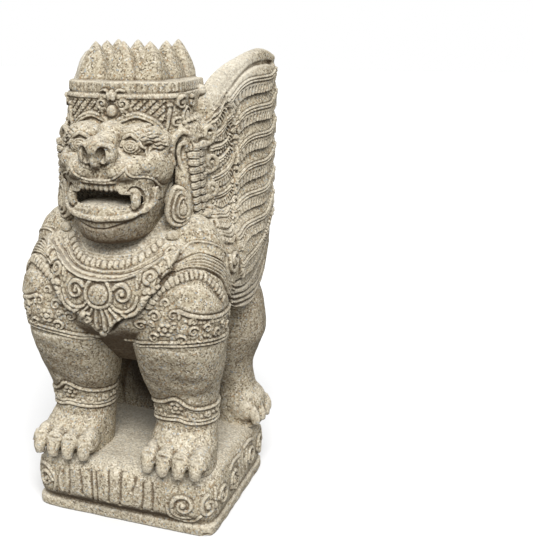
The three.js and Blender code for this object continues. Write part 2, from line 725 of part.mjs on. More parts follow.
// Draws edges together where they carry least of the form, until few enough triangles are left. An edge
// goes only where the skin stays closed and no face turns over.
function thinned(corners, faces, most) {
  const at = corners.slice();
  const alive = faces.map((face) => face.slice());
  const around = at.map(() => new Set());
  const quadric = at.map(() => new Array(10).fill(0));
  alive.forEach((face, i) => {
    const plane = planeQuadric(...face.map((v) => at[v]));
    for (const v of face) {
      around[v].add(i);
      quadric[v] = quadric[v].map((q, k) => q + plane[k]);
    }
  });
  let count = alive.length;
  const neighbours = (v) => new Set([...around[v]].flatMap((i) => alive[i]).filter((n) => n !== v));
  const faceNormal = (face, moved, to) => {
    const [a, b, c] = face.map((v) => (moved.includes(v) ? to : at[v]));
    return b.clone().sub(a).cross(c.clone().sub(a));
  };
  const turnsOver = (keep, drop, to) =>
    [...new Set([...around[keep], ...around[drop]])].some((i) => {
      const face = alive[i];
      if (face.includes(keep) && face.includes(drop)) return false;
      const before = faceNormal(face, [], to).normalize();
      const after = faceNormal(face, [keep, drop], to);
      return after.length() < 0.02 || after.normalize().dot(before) < 0.35;
    });
  for (let pass = 0; pass < 60 && count > most; pass += 1) {
    const edges = [];
    alive.forEach((face) => {
      if (!face) return;
      face.forEach((a, k) => {
        const b = face[(k + 1) % 3];
        if (a > b) return;
        const both = quadric[a].map((q, n) => q + quadric[b][n]);
        const middle = at[a].clone().lerp(at[b], 0.5);
        const forLength = 1e-3 * at[a].distanceToSquared(at[b]);
        const places = [at[a], at[b], middle].map((p) => [quadricAt(both, p) + forLength, p]);
        places.sort((p, q) => p[0] - q[0]);
        edges.push([places[0][0], a, b, places[0][1], both]);
      });
    });
    edges.sort((p, q) => p[0] - q[0]);
    const touched = new Set();
    let drawn = 0;
    for (const [, keep, drop, to, both] of edges) {
      if (count <= most || drawn > edges.length / 14) break;
      if (touched.has(keep) || touched.has(drop)) continue;
      const beside = neighbours(drop);
      const shared = [...neighbours(keep)].filter((n) => beside.has(n));
      if (shared.length !== 2 || turnsOver(keep, drop, to)) continue;
      for (const i of [...around[drop]]) {
        const face = alive[i];
        if (face.includes(keep)) {
          face.forEach((v) => around[v].delete(i));
          alive[i] = null;
          count -= 1;
        } else {
          face[face.indexOf(drop)] = keep;
          around[keep].add(i);
        }
      }
      around[drop].clear();
      at[keep] = to.clone();
      quadric[keep] = both;
      for (const v of [keep, ...neighbours(keep)]) touched.add(v);
      drawn += 1;
    }
    if (!drawn) break;
  }
  return [at, alive.filter(Boolean)];
}

function toGeometry(carved) {
  const mesh = carved.getMesh();
  const corners = [];
  for (let i = 0; i < mesh.numVert; i += 1)
    corners.push(point(...mesh.vertProperties.slice(i * mesh.numProp, i * mesh.numProp + 3)));
  const faces = [];
  for (let i = 0; i < mesh.triVerts.length; i += 3) faces.push([...mesh.triVerts.slice(i, i + 3)]);
  const [at, kept] = thinned(corners, faces, MOST_TRIANGLES);
  const used = [...new Set(kept.flat())];
  const place = new Map(used.map((v, i) => [v, i]));
  const geometry = new THREE.BufferGeometry().setFromPoints(used.map((v) => at[v]));
  geometry.setIndex(kept.flat().map((v) => place.get(v)));
  geometry.computeVertexNormals();
  return geometry;
}

const stone = new THREE.MeshStandardMaterial({ color: 0xb5a68e, roughness: 0.95, metalness: 0 });
const lion = new THREE.Mesh(toGeometry(carve()), stone);
lion.name = "winged_lion";

const statue = new THREE.Group();
statue.add(lion);

export default statue;
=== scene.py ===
# %% [markdown]
# # A winged guardian lion, carved from one block of stone
#
# The statue is about 80 cm high: a square plinth, four heavy legs, a bull neck with a broad grinning face,
# a crown with eight pointed petals and two upright wings. A carver works from large forms to small ones,
# and so does this lesson. Each part starts as a few simple closed shapes that overlap, a voxel remesh melts
# them into one skin, as if they were cut from one stone, and then the ornament is carved into that skin by
# moving its points in or out along the surface.

import math

import bmesh
import bpy
import numpy as np
from mathutils import Euler, Matrix, Vector


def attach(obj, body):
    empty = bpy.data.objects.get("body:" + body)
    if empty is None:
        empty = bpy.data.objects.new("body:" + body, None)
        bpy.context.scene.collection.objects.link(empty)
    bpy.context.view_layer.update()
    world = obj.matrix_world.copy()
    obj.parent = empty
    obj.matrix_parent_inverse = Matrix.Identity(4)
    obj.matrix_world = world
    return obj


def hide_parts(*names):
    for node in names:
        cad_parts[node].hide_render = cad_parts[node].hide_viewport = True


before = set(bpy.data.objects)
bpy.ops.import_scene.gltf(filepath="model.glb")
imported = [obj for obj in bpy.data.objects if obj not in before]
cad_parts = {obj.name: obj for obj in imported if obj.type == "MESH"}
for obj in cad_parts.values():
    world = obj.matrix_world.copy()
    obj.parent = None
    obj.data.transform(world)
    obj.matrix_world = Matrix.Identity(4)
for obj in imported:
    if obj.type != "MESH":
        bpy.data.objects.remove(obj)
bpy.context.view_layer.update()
LION = "winged_lion"

# %% [markdown]
# ## Where the camera stands
#
# The picture shows the lion from its left front, from a little above. The camera keeps the distance of such
# a picture, because distance alone decides how strongly the near foot grows against the far one. The statue
# stands left of the middle of the picture, which is a shift of the lens, not a turn of the camera.

# %% The camera
PICTURE = (533, 554)
AZIMUTH, PITCH, TURN, ROLL = (math.radians(a) for a in (22.9, 16.4, 0.2, -0.7))
DISTANCE, EYE_HEIGHT = 1.586, 0.843
FOCAL_PIXELS = 941
AIM = (150, 288)  # the point of the picture that the lens looks at, from its top left corner


def look_at_the_lion():
    heading = AZIMUTH + TURN
    forward = Vector((-math.sin(heading), math.cos(heading), 0))
    ahead = forward * math.cos(PITCH) - Vector((0, 0, math.sin(PITCH)))
    level = Vector((math.cos(heading), math.sin(heading), 0))
    upright = level.cross(ahead)
    right = level * math.cos(ROLL) + upright * math.sin(ROLL)
    up = upright * math.cos(ROLL) - level * math.sin(ROLL)
    camera = bpy.data.objects.new("camera", bpy.data.cameras.new("camera"))
    bpy.context.scene.collection.objects.link(camera)
    camera.matrix_world = Matrix((right, up, -ahead)).transposed().to_4x4()
    camera.location = (math.sin(AZIMUTH) * DISTANCE, -math.cos(AZIMUTH) * DISTANCE, EYE_HEIGHT)
    long_side = max(PICTURE)
    camera.data.lens = FOCAL_PIXELS * camera.data.sensor_width / long_side
    camera.data.shift_x = (PICTURE[0] / 2 - AIM[0]) / long_side
    camera.data.shift_y = (AIM[1] - PICTURE[1] / 2) / long_side
    return camera


bpy.context.scene.camera = look_at_the_lion()
print("lens", round(bpy.context.scene.camera.data.lens, 1), "mm")

# %% [markdown]
# ## The tools of the mason
#
# All forms are built in millimetres and become metres when a piece is finished. The first helpers are for
# numbers: a mix of two values, a soft step, a circle pressed towards a square, and a smooth curve through a
# few points.

# %% Numbers
MM = 0.001
UP = Vector((0, 0, 1))
COARSER = 1.0


def mix(a, b, t):
    return a + (b - a) * t


def soft_step(low, high, v):
    t = np.clip((v - low) / (high - low), 0, 1)
    return t * t * (3 - 2 * t)


def squared(v, square):
    """A circle's coordinate, pressed towards a square: 2 leaves it round."""
    return math.copysign(abs(v) ** (2 / square), v)


def smooth_line(points, spacing=4.0):
    """A Catmull-Rom curve through a few points, as many close points."""
    p = np.array(points, float)
    ends = np.vstack([2 * p[0] - p[1], p, 2 * p[-1] - p[-2]])
    line = []
    for a, b, c, d in zip(ends, ends[1:], ends[2:], ends[3:]):
        t = np.linspace(0, 1, max(2, int(np.linalg.norm(c - b) / spacing)), endpoint=False)[:, None]
        bend, twist = 2 * a - 5 * b + 4 * c - d, 3 * b - a - 3 * c + d
        line.append(0.5 * (2 * b + (c - a) * t + bend * t**2 + twist * t**3))
    return np.vstack([*line, p[-1]])


# %% [markdown]
# A limb is a stack of rings, each with its own centre, width, depth and squareness. Blender's bmesh makes a
# ring with `create_circle`, and `bridge_loops` skins one ring to the next. An egg is a stretched sphere,
# and a roll is a ring carried along a curve, thick or thin along its way. They may overlap as they please.


# %% Rings, eggs and rolls
def ring(bm, sides, closed):
    return bmesh.ops.create_circle(bm, segments=sides, radius=1, cap_ends=closed)["verts"]


def skin_rings(bm, rings):
    for lower, upper in zip(rings, rings[1:]):
        edges = {e for v in lower for e in v.link_edges if e.other_vert(v) in lower}
        edges |= {e for v in upper for e in v.link_edges if e.other_vert(v) in upper}
        bmesh.ops.bridge_loops(bm, edges=list(edges))


def limb(bm, rows, sides=48, shape=None, spacing=7.0):
    """rows of [z, centre x, centre y, half width, half depth, squareness], from the lowest up."""
    rows = smooth_line(rows, spacing) if spacing else np.array(rows, float)
    rings = []
    for i, (z, cx, cy, half_width, half_depth, square) in enumerate(rows):
        verts = ring(bm, sides, i in (0, len(rows) - 1))
        for v in verts:
            x, y = (squared(c, square) for c in v.co[:2])
            place = Vector((cx + half_width * x, cy + half_depth * y, z))
            v.co = shape(place) if shape else place
        rings.append(verts)
    skin_rings(bm, rings)


def egg(bm, centre, radii, turn=(0, 0, 0), fine=24):
    place = Matrix.LocRotScale(Vector(centre), Euler(turn), Vector(radii))
    bmesh.ops.create_uvsphere(bm, u_segments=fine, v_segments=fine // 2, radius=1, matrix=place)


def roll(bm, points, thickness, sides=12, flat=1.0, away=None, spacing=2.5):
    """A round bar along a curve: thickness is its half width, flat how far it stands out against that."""
    line = smooth_line(points, spacing)
    rings = []
    for i, p in enumerate(line):
        t = i / (len(line) - 1)
        along = Vector(line[min(i + 1, len(line) - 1)] - line[max(i - 1, 0)]).normalized()
        out = Vector(away) if away else UP
        across = out.cross(along).normalized()
        out = along.cross(across).normalized()
        wide = thickness(t) if callable(thickness) else thickness
        verts = ring(bm, sides, i in (0, len(line) - 1))
        for v in verts:
            v.co = Vector(p) + across * (v.co.x * wide) + out * (v.co.y * wide * flat)
        rings.append(verts)
    skin_rings(bm, rings)


def both_sides(make, bm, *args, **kwargs):
    """Makes a form on the lion's left side and its mirror image on the right one."""
    before = set(bm.verts)
    make(bm, *args, **kwargs)
    new = [v for v in bm.verts if v not in before]
    edges = {e for v in new for e in v.link_edges}
    faces = {f for v in new for f in v.link_faces}
    copy = bmesh.ops.duplicate(bm, geom=[*new, *edges, *faces])["geom"]
    bmesh.ops.scale(bm, vec=(-1, 1, 1), verts=[g for g in copy if isinstance(g, bmesh.types.BMVert)])


# %% [markdown]
# A voxel remesh turns the heap of shapes into one closed skin with even faces. A hollow, such as the open
# mouth, is cut with a Boolean before that. `smooth_vert` would melt the skin a little, but on a skin this
# fine the same averaging is much faster in numpy, so the skin keeps its points there until it is finished.


# %% One skin from many shapes
def as_object(name, bm):
    bmesh.ops.recalc_face_normals(bm, faces=bm.faces)
    mesh = bpy.data.meshes.new(name)
    bm.to_mesh(mesh)
    bm.free()
    thing = bpy.data.objects.new(name, mesh)
    bpy.context.scene.collection.objects.link(thing)
    return thing


def apply_modifiers(thing):
    seen = thing.evaluated_get(bpy.context.evaluated_depsgraph_get())
    mesh = bpy.data.meshes.new_from_object(seen)
    thing.modifiers.clear()
    old = thing.data
    thing.data = mesh
    bpy.data.meshes.remove(old)


def melt(thing, voxel):
    remesh = thing.modifiers.new("melt", "REMESH")
    remesh.mode = "VOXEL"
    remesh.voxel_size = voxel * COARSER
    apply_modifiers(thing)


def hollow(thing, cutter):
    cut = thing.modifiers.new("hollow", "BOOLEAN")
    cut.operation = "DIFFERENCE"
    cut.solver = "MANIFOLD"
    cut.object = cutter
    apply_modifiers(thing)
    bpy.data.objects.remove(cutter)


class Skin:
    """The points of a piece while it is carved, in millimetres."""

    def __init__(self, thing):
        self.thing = thing
        mesh = thing.data
        self.count = len(mesh.vertices)
        self.co = np.empty(self.count * 3)
        mesh.vertices.foreach_get("co", self.co)
        self.co = self.co.reshape(-1, 3)
        self.edges = np.empty(len(mesh.edges) * 2, np.int32)
        mesh.edges.foreach_get("vertices", self.edges)
        self.edges = self.edges.reshape(-1, 2)
        self.degree = np.maximum(np.bincount(self.edges.ravel(), minlength=self.count), 1)
        self.read_normals()

    def read_normals(self):
        self.thing.data.vertices.foreach_set("co", self.co.ravel())
        self.thing.data.update()
        self.normal = np.empty(self.count * 3)
        self.thing.data.vertex_normals.foreach_get("vector", self.normal)
        self.normal = self.normal.reshape(-1, 3)

    def around(self, values):
        """The mean of each point's neighbours."""
        a, b = self.edges.T
        columns = values.reshape(self.count, -1)
        total = np.empty_like(columns)
        for k in range(columns.shape[1]):
            column = columns[:, k]
            total[:, k] = np.bincount(a, column[b], self.count) + np.bincount(b, column[a], self.count)
        return (total / self.degree[:, None]).reshape(values.shape)

    def soften(self, times, share=0.5, where=None):
        for _ in range(times):
            moved = (self.around(self.co) - self.co) * share
            self.co += moved if where is None else moved * where[:, None]
        self.read_normals()

    def push(self, chosen, height):
        """Moves the chosen points out along the skin by height, or in where it is negative."""
        self.co[chosen] += self.normal[chosen] * height[:, None]
        self.read_normals()


# %% [markdown]
# ## The chisel
#
# Ornament is drawn flat, as a carver draws it on the block before cutting. A chart says which two measures
# of a point count as the drawing's own: the front is seen as width and height, a wing as depth and height,
# and a leg as an angle round its middle and height. Each stroke then says how far the points near it rise
# or sink. A raised stroke has a fine cut along both its edges, which is what makes carving read as lines.


# %% Charts
def front(co):
    return np.column_stack((np.abs(co[:, 0]), co[:, 2]))


def front_view(co):
    return co[:, [0, 2]]


def side(co):
    return co[:, [1, 2]]


def round_leg(x, y, radius):
    def chart(co):
        return np.column_stack((np.arctan2(np.abs(co[:, 0]) - x, y - co[:, 1]) * radius, co[:, 2]))

    return chart


def facing(x, y, degrees):
    """The chart of a face that looks out from (x, y) at an angle to the front."""
    c, s = math.cos(math.radians(degrees)), math.sin(math.radians(degrees))

    def chart(co):
        return np.column_stack(((np.abs(co[:, 0]) - x) * c + (co[:, 1] - y) * s, co[:, 2]))

    return chart


def at_angle(radius, *points):
    """Turns (degrees round a leg, height) into the leg chart's millimetres."""
    return [(math.radians(angle) * radius, z) for angle, z in points]


# %% Strokes
SOFT_HAND = 0.8  # the carving is worn, so what stands out is lower than it was cut
MOAT = 1.4  # half the width of the fine cut beside a raised stroke, in millimetres
MOAT_AWAY = 0.7  # how far its middle lies from the stroke's edge


class Relief:
    """A drawing on part of a skin. ground, raised and cut are heights in millimetres."""

    def __init__(self, skin, chart, chosen):
        self.skin = skin
        self.points = np.flatnonzero(chosen)
        self.flat = chart(skin.co[self.points])
        self.ground = np.zeros(len(self.points))
        self.raised = np.zeros(len(self.points))
        self.cut = np.zeros(len(self.points))

    def lift(self, ids, height):
        self.raised[ids] = np.maximum(self.raised[ids], height * SOFT_HAND)

    def sink(self, ids, depth):
        self.cut[ids] = np.maximum(self.cut[ids], depth)

    def near(self, line, reach):
        """The points within reach of a line: which, how far off, how far along, on which side of it."""
        ids = np.flatnonzero(((self.flat > line.min(0) - reach) & (self.flat < line.max(0) + reach)).all(1))
        p = self.flat[ids]
        nearest = ((line**2).sum(1) - 2 * p @ line.T).argmin(1)
        direction = np.gradient(line, axis=0)
        direction /= np.linalg.norm(direction, axis=1)[:, None]
        steps = np.linalg.norm(np.diff(line, axis=0), axis=1)
        length = np.concatenate([[0], np.cumsum(steps)])
        gap = p - line[nearest]
        way = direction[nearest]
        forward = (gap * way).sum(1)
        aside = way[:, 0] * gap[:, 1] - way[:, 1] * gap[:, 0]
        past_end = ((nearest == 0) & (forward < 0)) | ((nearest == len(line) - 1) & (forward > 0))
        far = np.where(past_end, np.hypot(*gap.T), np.abs(aside))
        close = far < reach
        along = np.clip(length[nearest] + forward, 0, length[-1])
        return ids[close], far[close], along[close], aside[close], length[-1]

    def ridge(self, points, half_width, height, taper=(1, 1), moat=1.0):
        line = smooth_line(points, 1.0)
        ids, far, along, _, length = self.near(line, half_width + MOAT_AWAY + MOAT + 0.1)
        share = mix(taper[0], taper[1], along / length)
        wide = half_width * share
        self.lift(ids, height * (0.4 + 0.6 * share) * np.clip(1 - (far / wide) ** 3, 0, 1) ** 0.45)
        if moat:
            self.sink(ids, moat * np.clip(1 - np.abs(far - wide - MOAT_AWAY) / MOAT, 0, 1))

    def groove(self, points, half_width, depth, taper=(1, 1)):
        line = smooth_line(points, 1.0)
        ids, far, along, _, length = self.near(line, half_width)
        wide = half_width * mix(taper[0], taper[1], along / length)
        self.sink(ids, depth * np.clip(1 - (far / wide) ** 2, 0, 1))

    def dome(self, centre, radii, height, turn=0, moat=1.0):
        reach = max(radii) + 2.5
        gap = self.flat - np.array(centre)
        ids = np.flatnonzero((np.abs(gap) < reach).all(1))
        c, s = math.cos(math.radians(turn)), math.sin(math.radians(turn))
        gap = gap[ids] @ np.array([[c, -s], [s, c]]) / np.array(radii)
        far = np.hypot(*gap.T)
        self.lift(ids, height * np.clip(1 - far**2, 0, 1) ** 0.5)
        if moat:
            small = min(radii)
            self.sink(ids, moat * np.clip(1 - np.abs(far - 1 - MOAT_AWAY / small) * small / MOAT, 0, 1))

    def curl(self, centre, radius, half_width, height, start, hand=1, turns=1.15, tall=1.0):
        """A stroke that winds inwards from the angle start, with a bead in its middle."""
        t = np.linspace(0, 1, 14)
        angle = np.radians(start + hand * 360 * turns * t)
        r = radius * (1 - 0.62 * t) - half_width * 0.5
        spiral = np.column_stack((centre[0] + r * np.cos(angle), centre[1] + r * np.sin(angle) * tall))
        self.ridge(spiral, half_width, height, (1, 0.62))
        self.dome(centre, (radius * 0.24, radius * 0.24 * tall), height * 1.1, moat=1.6)

    def beads(self, points, pitch, half_width, height, square=2.0, strands=0, moat=1.2):
        """A row of beads, or of blocks where square is large, with fine cuts across each block."""
        line = smooth_line(points, 1.0)
        ids, far, along, _, length = self.near(line, half_width + 1.5)
        pitch = length / max(1, round(length / pitch))
        step = (along / pitch) % 1 - 0.5
        q = np.abs(step * 2 / 0.96) ** square + (far / half_width) ** square
        self.lift(ids, height * np.clip(1 - q, 0, 1) ** (0.5 if square < 3 else 0.3))
        self.sink(ids, moat * np.clip(1 - np.abs(q - 1.1) * 3, 0, 1))
        if strands:
            turn = 2 * math.pi * (strands + 1) * step + (math.pi if strands % 2 == 0 else 0)
            self.sink(ids, np.where(q < 0.8, 1.3 * np.clip(np.cos(turn) * 2 - 1, 0, 1), 0))

    def hatch(self, outline, angle, pitch, half_width, depth, stagger=0.0):
        """Straight cuts at an angle inside a closed outline. Staggered ones change place from row to row."""
        ids = np.flatnonzero(self.inside(np.array(outline, float)))
        c, s = math.cos(math.radians(angle)), math.sin(math.radians(angle))
        u, v = self.flat[ids].T
        along, across = u * c + v * s, v * c - u * s
        if stagger:
            across = across + (np.floor(along / stagger) % 2) * pitch / 2
        gap = np.abs((across / pitch) % 1 - 0.5) * pitch
        self.sink(ids, depth * np.clip(1 - (gap / half_width) ** 2, 0, 1))

    def flower(self, centre, radius, petals, height, turn=0):
        gap = self.flat - np.array(centre)
        ids = np.flatnonzero((np.abs(gap) < radius + 2).all(1))
        gap = gap[ids]
        far = np.hypot(*gap.T) / radius
        lobe = np.abs(np.cos(petals / 2 * (np.arctan2(gap[:, 1], gap[:, 0]) + turn)))
        heart = height * 1.25 * np.clip(1 - (far / 0.4) ** 2, 0, 1) ** 0.5
        petal = height * np.clip(1 - ((far - 0.7) / (0.12 + 0.22 * lobe)) ** 2, 0, 1) ** 0.5 * lobe**0.4
        self.lift(ids, np.maximum(heart, petal))
        self.sink(ids, 1.3 * np.clip(1 - np.abs(far - 0.44) * radius / 1.5, 0, 1))

    def inside(self, line):
        x, y = self.flat.T
        crossings = np.zeros(len(x), int)
        for (x0, y0), (x1, y1) in zip(line, np.roll(line, -1, axis=0)):
            if y0 != y1:
                crossings += ((y0 > y) != (y1 > y)) & (x < x0 + (y - y0) * (x1 - x0) / (y1 - y0))
        return crossings % 2 == 1

    def plate(self, outline, height, edge):
        """Raises the whole area inside a closed outline, with a slope of width edge at its rim."""
        line = smooth_line([*outline, outline[0]], 1.0)
        within = self.inside(line)
        rise = np.where(within, 1.0, 0.0)
        ids, far, *_ = self.near(line, edge)
        rise[ids] = np.where(within[ids], soft_step(0, 1, far / edge), 0)
        self.ground += height * rise
        return within

    def carve(self):
        self.skin.push(self.points, self.ground + self.raised - self.cut)


# %% [markdown]
# A hand-made surface is never quite even. A few waves in random directions, added together, give swellings
# of a chosen size. The same random seed gives the same stone each time.


# %% Unevenness
SWELLINGS = ((0.45, 42), (0.16, 11))  # height and length of the waves, in millimetres


def waves(co, size, seed):
    rng = np.random.default_rng(seed)
    total = np.zeros(len(co))
    for _ in range(12):
        way = rng.normal(size=3)
        way *= 2 * math.pi / size * rng.uniform(0.6, 1.5) / np.linalg.norm(way)
        total += np.sin(co @ way + rng.uniform(0, 2 * math.pi))
    return total / math.sqrt(12)


def weather(skin, seed):
    """The unevenness of hand work. The pits between the grains are left to the stone's bump."""
    (high, long), (low, short) = SWELLINGS
    every = np.arange(skin.count)
    skin.push(every, high * waves(skin.co, long, seed) + low * waves(skin.co, short, seed + 1))


# %% [markdown]
# ## The stone
#
# A hard, speckled volcanic tuff: cream, tan and a few rust, blue-grey and dark grains, dull all over, worn
# pale on its edges, and with brown painted shade in the cuts. The grains come from a Voronoi texture, in
# which every cell takes one colour of a short list. The painted shade needs to know what is deep, and that
# comes from the shape
# itself: the attribute "depth" says how far a point lies in a cut. Over it lie a few broad patches of painted
# shade and painted highlight, each with a place on the statue.

# %% The stone's material
GRAIN = 2.4  # millimetres: coarser than most real grains, because those are below a pixel
CLOUD, PIT, PIT_DEPTH = 55, 2.6, 1.2  # millimetres: the clouds of tone, and the pits between the grains
STONE = {
    "dark grain": "#756a59",
    "tan grain": "#9c8f79",
    "plain grain": "#b4a991",
    "pale grain": "#c9bfa8",
    "white grain": "#dad2c0",
    "rust grain": "#a58c6c",
    "blue grain": "#a3a7a6",
    # painted shade: brown for the cuts, undersides, chin and haunches; nearly black for the gap between the
    # legs
    "painted shade": "#4f3e2c",
    "painted deep shade": "#2a2118",
    "worn": "#d8cfbc",
    # painted highlight, for surfaces that face up
    "painted_highlight": "#e0dacb",
}


def colour(hex_code):
    """An sRGB hex colour as the linear values that a shader takes."""
    values = [int(hex_code[i : i + 2], 16) / 255 for i in (1, 3, 5)]
    return [*((v / 12.92) if v <= 0.04045 else ((v + 0.055) / 1.055) ** 2.4 for v in values), 1]


def node(tree, kind, inputs=(), **settings):
    """Adds a node, sets its properties, and sets or links its inputs."""
    made = tree.nodes.new(kind)
    for name, value in settings.items():
        setattr(made, name, value)
    for name, value in dict(inputs).items():
        if isinstance(value, bpy.types.NodeSocket):
            tree.links.new(value, made.inputs[name])
        else:
            made.inputs[name].default_value = value
    return made


def ramp(tree, factor, stops, interpolation="LINEAR"):
    made = node(tree, "ShaderNodeValToRGB", {"Fac": factor})
    made.color_ramp.interpolation = interpolation
    while len(made.color_ramp.elements) < len(stops):
        made.color_ramp.elements.new(0.5)
    for element, (place, value) in zip(made.color_ramp.elements, stops):
        element.position = place
        element.color = value
    return made.outputs["Color"]


def grey(value):
    return (value, value, value, 1)


def fade(tree, factor, *stops):
    """A ramp between greys, from stops of (place, share)."""
    return ramp(tree, factor, [(place, grey(share)) for place, share in stops])


def blend(tree, factor, below, above, kind="MIX"):
    inputs = {"Factor": factor, "A": below, "B": above}
    return node(tree, "ShaderNodeMix", inputs, data_type="RGBA", blend_type=kind).outputs["Result"]


# Painted shade and painted highlight over large areas: centre and radii in millimetres, colour and strength.
PAINTED_PATCHES = [
    ((0, 45, 225), (150, 110, 175), "painted deep shade", 0.92),  # painted deep shade between the legs
    ((0, -178, 520), (85, 70, 30), "painted shade", 0.5),  # the shade under the chin
    # painted shade on the haunches, below the wings
    ((135, 110, 330), (90, 100, 170), "painted shade", 0.3),
    ((-135, 110, 330), (90, 100, 170), "painted shade", 0.3),
    ((130, 0, 745), (70, 110, 62), "painted_highlight", 0.42),  # painted highlight on the wings' bevels, which face up towards the light
    ((-130, 0, 745), (70, 110, 62), "painted_highlight", 0.42),
]


def painted_patch(tree, here, base, centre, radii, name, strength):
    # paints one patch in the named colour, full near its middle and gone at its rim: shade for most,
    # highlight on the bevels
    centre, radii = (tuple(v * MM for v in three) for three in (centre, radii))
    gap = node(tree, "ShaderNodeVectorMath", {0: here, 1: centre}, operation="SUBTRACT").outputs[0]
    share = node(tree, "ShaderNodeVectorMath", {0: gap, 1: radii}, operation="DIVIDE").outputs[0]
    far = node(tree, "ShaderNodeVectorMath", {0: share}, operation="LENGTH").outputs["Value"]
    factor = fade(tree, far, (0.55, strength), (1.0, 0))
    return blend(tree, factor, base, colour(STONE[name]))


def speckled_stone():
    # A matte tuff, for the whole statue: grains first, then clouds of tone and broad patches of painted shade
    # and highlight, then painted shade in cuts, wear on edges, a painted highlight on surfaces that face up,
    # and painted shade on those that face down.
    material = bpy.data.materials.new("speckled tuff, hand carved")
    material.use_nodes = True
    tree = material.node_tree
    shader = tree.nodes["Principled BSDF"]
    here = node(tree, "ShaderNodeTexCoord").outputs["Object"]
    grains = node(tree, "ShaderNodeTexVoronoi", {"Vector": here, "Scale": 1 / (GRAIN * MM)})
    kind = node(tree, "ShaderNodeSeparateColor", {"Color": grains.outputs["Color"]}).outputs["Red"]
    shades = [(0.0, "dark grain"), (0.12, "tan grain"), (0.37, "plain grain"), (0.62, "pale grain"),
              (0.86, "rust grain"), (0.9, "blue grain"), (0.93, "white grain")]
    grain_colour = ramp(tree, kind, [(place, colour(STONE[name])) for place, name in shades], "CONSTANT")
    clouds = node(tree, "ShaderNodeTexNoise", {"Vector": here, "Scale": 1 / (CLOUD * MM), "Detail": 4})
    tone = fade(tree, clouds.outputs["Fac"], (0.3, 0.88), (0.7, 1.06))
    toned = blend(tree, 1.0, grain_colour, tone, "MULTIPLY")
    for place in PAINTED_PATCHES:
        toned = painted_patch(tree, here, toned, *place)
    depth = node(tree, "ShaderNodeAttribute", attribute_name="depth").outputs["Fac"]
    # painted shade in the cuts: the deeper a point lies in a cut, the darker brown it gets
    cut_shade = fade(tree, depth, (0.53, 0), (0.68, 0.38), (0.92, 0.74))
    shaded_cuts = blend(tree, cut_shade, toned, colour(STONE["painted shade"]))
    on_edge = fade(tree, depth, (0.2, 0.34), (0.44, 0))
    worn = blend(tree, on_edge, shaded_cuts, colour(STONE["worn"]))
    outward = node(tree, "ShaderNodeNewGeometry").outputs["Normal"]
    facing_up = node(tree, "ShaderNodeSeparateXYZ", {"Vector": outward}).outputs["Z"]
    # painted highlight: surfaces that face up grow paler, as if lit from above
    top_highlight = fade(tree, facing_up, (0.4, 0), (0.95, 0.32))
    painted_highlight = blend(tree, top_highlight, worn, colour(STONE["painted_highlight"]))
    facing_down = node(tree, "ShaderNodeMath", {0: facing_up, 1: -1.0}, operation="MULTIPLY")
    # painted shade: surfaces that face down turn brown
    underside_shade = fade(tree, facing_down.outputs["Value"], (0.3, 0), (0.7, 0.85))
    shaded_below = blend(tree, underside_shade, painted_highlight, colour(STONE["painted shade"]))
    tree.links.new(shaded_below, shader.inputs["Base Color"])
    shader.inputs["Roughness"].default_value = 0.93
    shader.inputs["Specular IOR Level"].default_value = 0.2
    pits = node(tree, "ShaderNodeTexNoise", {"Vector": here, "Scale": 1 / (PIT * MM), "Detail": 3})
    deep = {"Height": pits.outputs["Fac"], "Strength": 0.5, "Distance": PIT_DEPTH * MM}
    bump = node(tree, "ShaderNodeBump", deep)
    tree.links.new(bump.outputs["Normal"], shader.inputs["Normal"])
    return material


stone = speckled_stone()
print("grains in a centimetre:", round(10 / GRAIN, 1))

# %% [markdown]
# Every piece is made in the same order: its shapes are melted and softened, then it is carved, then
# finished. How fine it is follows from its carving. A finished piece gets metres, the stone, its depth
# attribute and its place on the frame. Depth is the gap between a point and the mean of its surroundings,
# measured along its normal: positive in a cut, negative on a ridge. The surroundings are a few millimetres
# wide, so it is the fine lines that get the painted shade.

# %% How fine each piece is
# The voxel of its melt in millimetres, the seed of its unevenness, and the most triangles that it keeps.
FINENESS = {
    "plinth": (1.6, 1, 85000),
    "fore_body": (1.25, 2, 195000),
    "forelegs": (1.5, 9, 85000),
    "hindquarters": (2.1, 3, 45000),
    "head": (1.15, 4, 195000),
    "crown": (1.3, 5, 125000),
    "wing_left": (1.2, 7, 180000),
    "wing_right": (1.6, 5, 65000),
}
FIRM = 0.3  # the share of the softening that paws and lower edges get
DEPTH_SCALE = 0.42  # how fast the attribute rises, for each millimetre in a cut
SURROUNDINGS = 10  # how many rings of neighbours count as a point's surroundings


def block_out(name, bm, softening, voxel=None, firm_below=None):
    """The shapes in bm as one melted and softened piece, and its skin, ready to be carved."""
    thing = as_object(name, bm)
    melt(thing, voxel or FINENESS[name][0])
    skin = Skin(thing)
    share = None if firm_below is None else np.where(skin.co[:, 2] > firm_below, 1.0, FIRM)
    skin.soften(softening, where=share)
    return thing, skin


# %% Finishing a piece
def depth_of(skin):
    mean = skin.co.copy()
    for _ in range(SURROUNDINGS):
        mean = skin.around(mean)
    depth = ((mean - skin.co) * skin.normal).sum(1)
    return np.clip(0.5 + skin.around(depth) * DEPTH_SCALE, 0, 1)


def merge(thing, bm):
    """Adds more shapes to an object, to be melted in."""
    bmesh.ops.recalc_face_normals(bm, faces=bm.faces)
    bm.from_mesh(thing.data)
    bm.to_mesh(thing.data)
    bm.free()


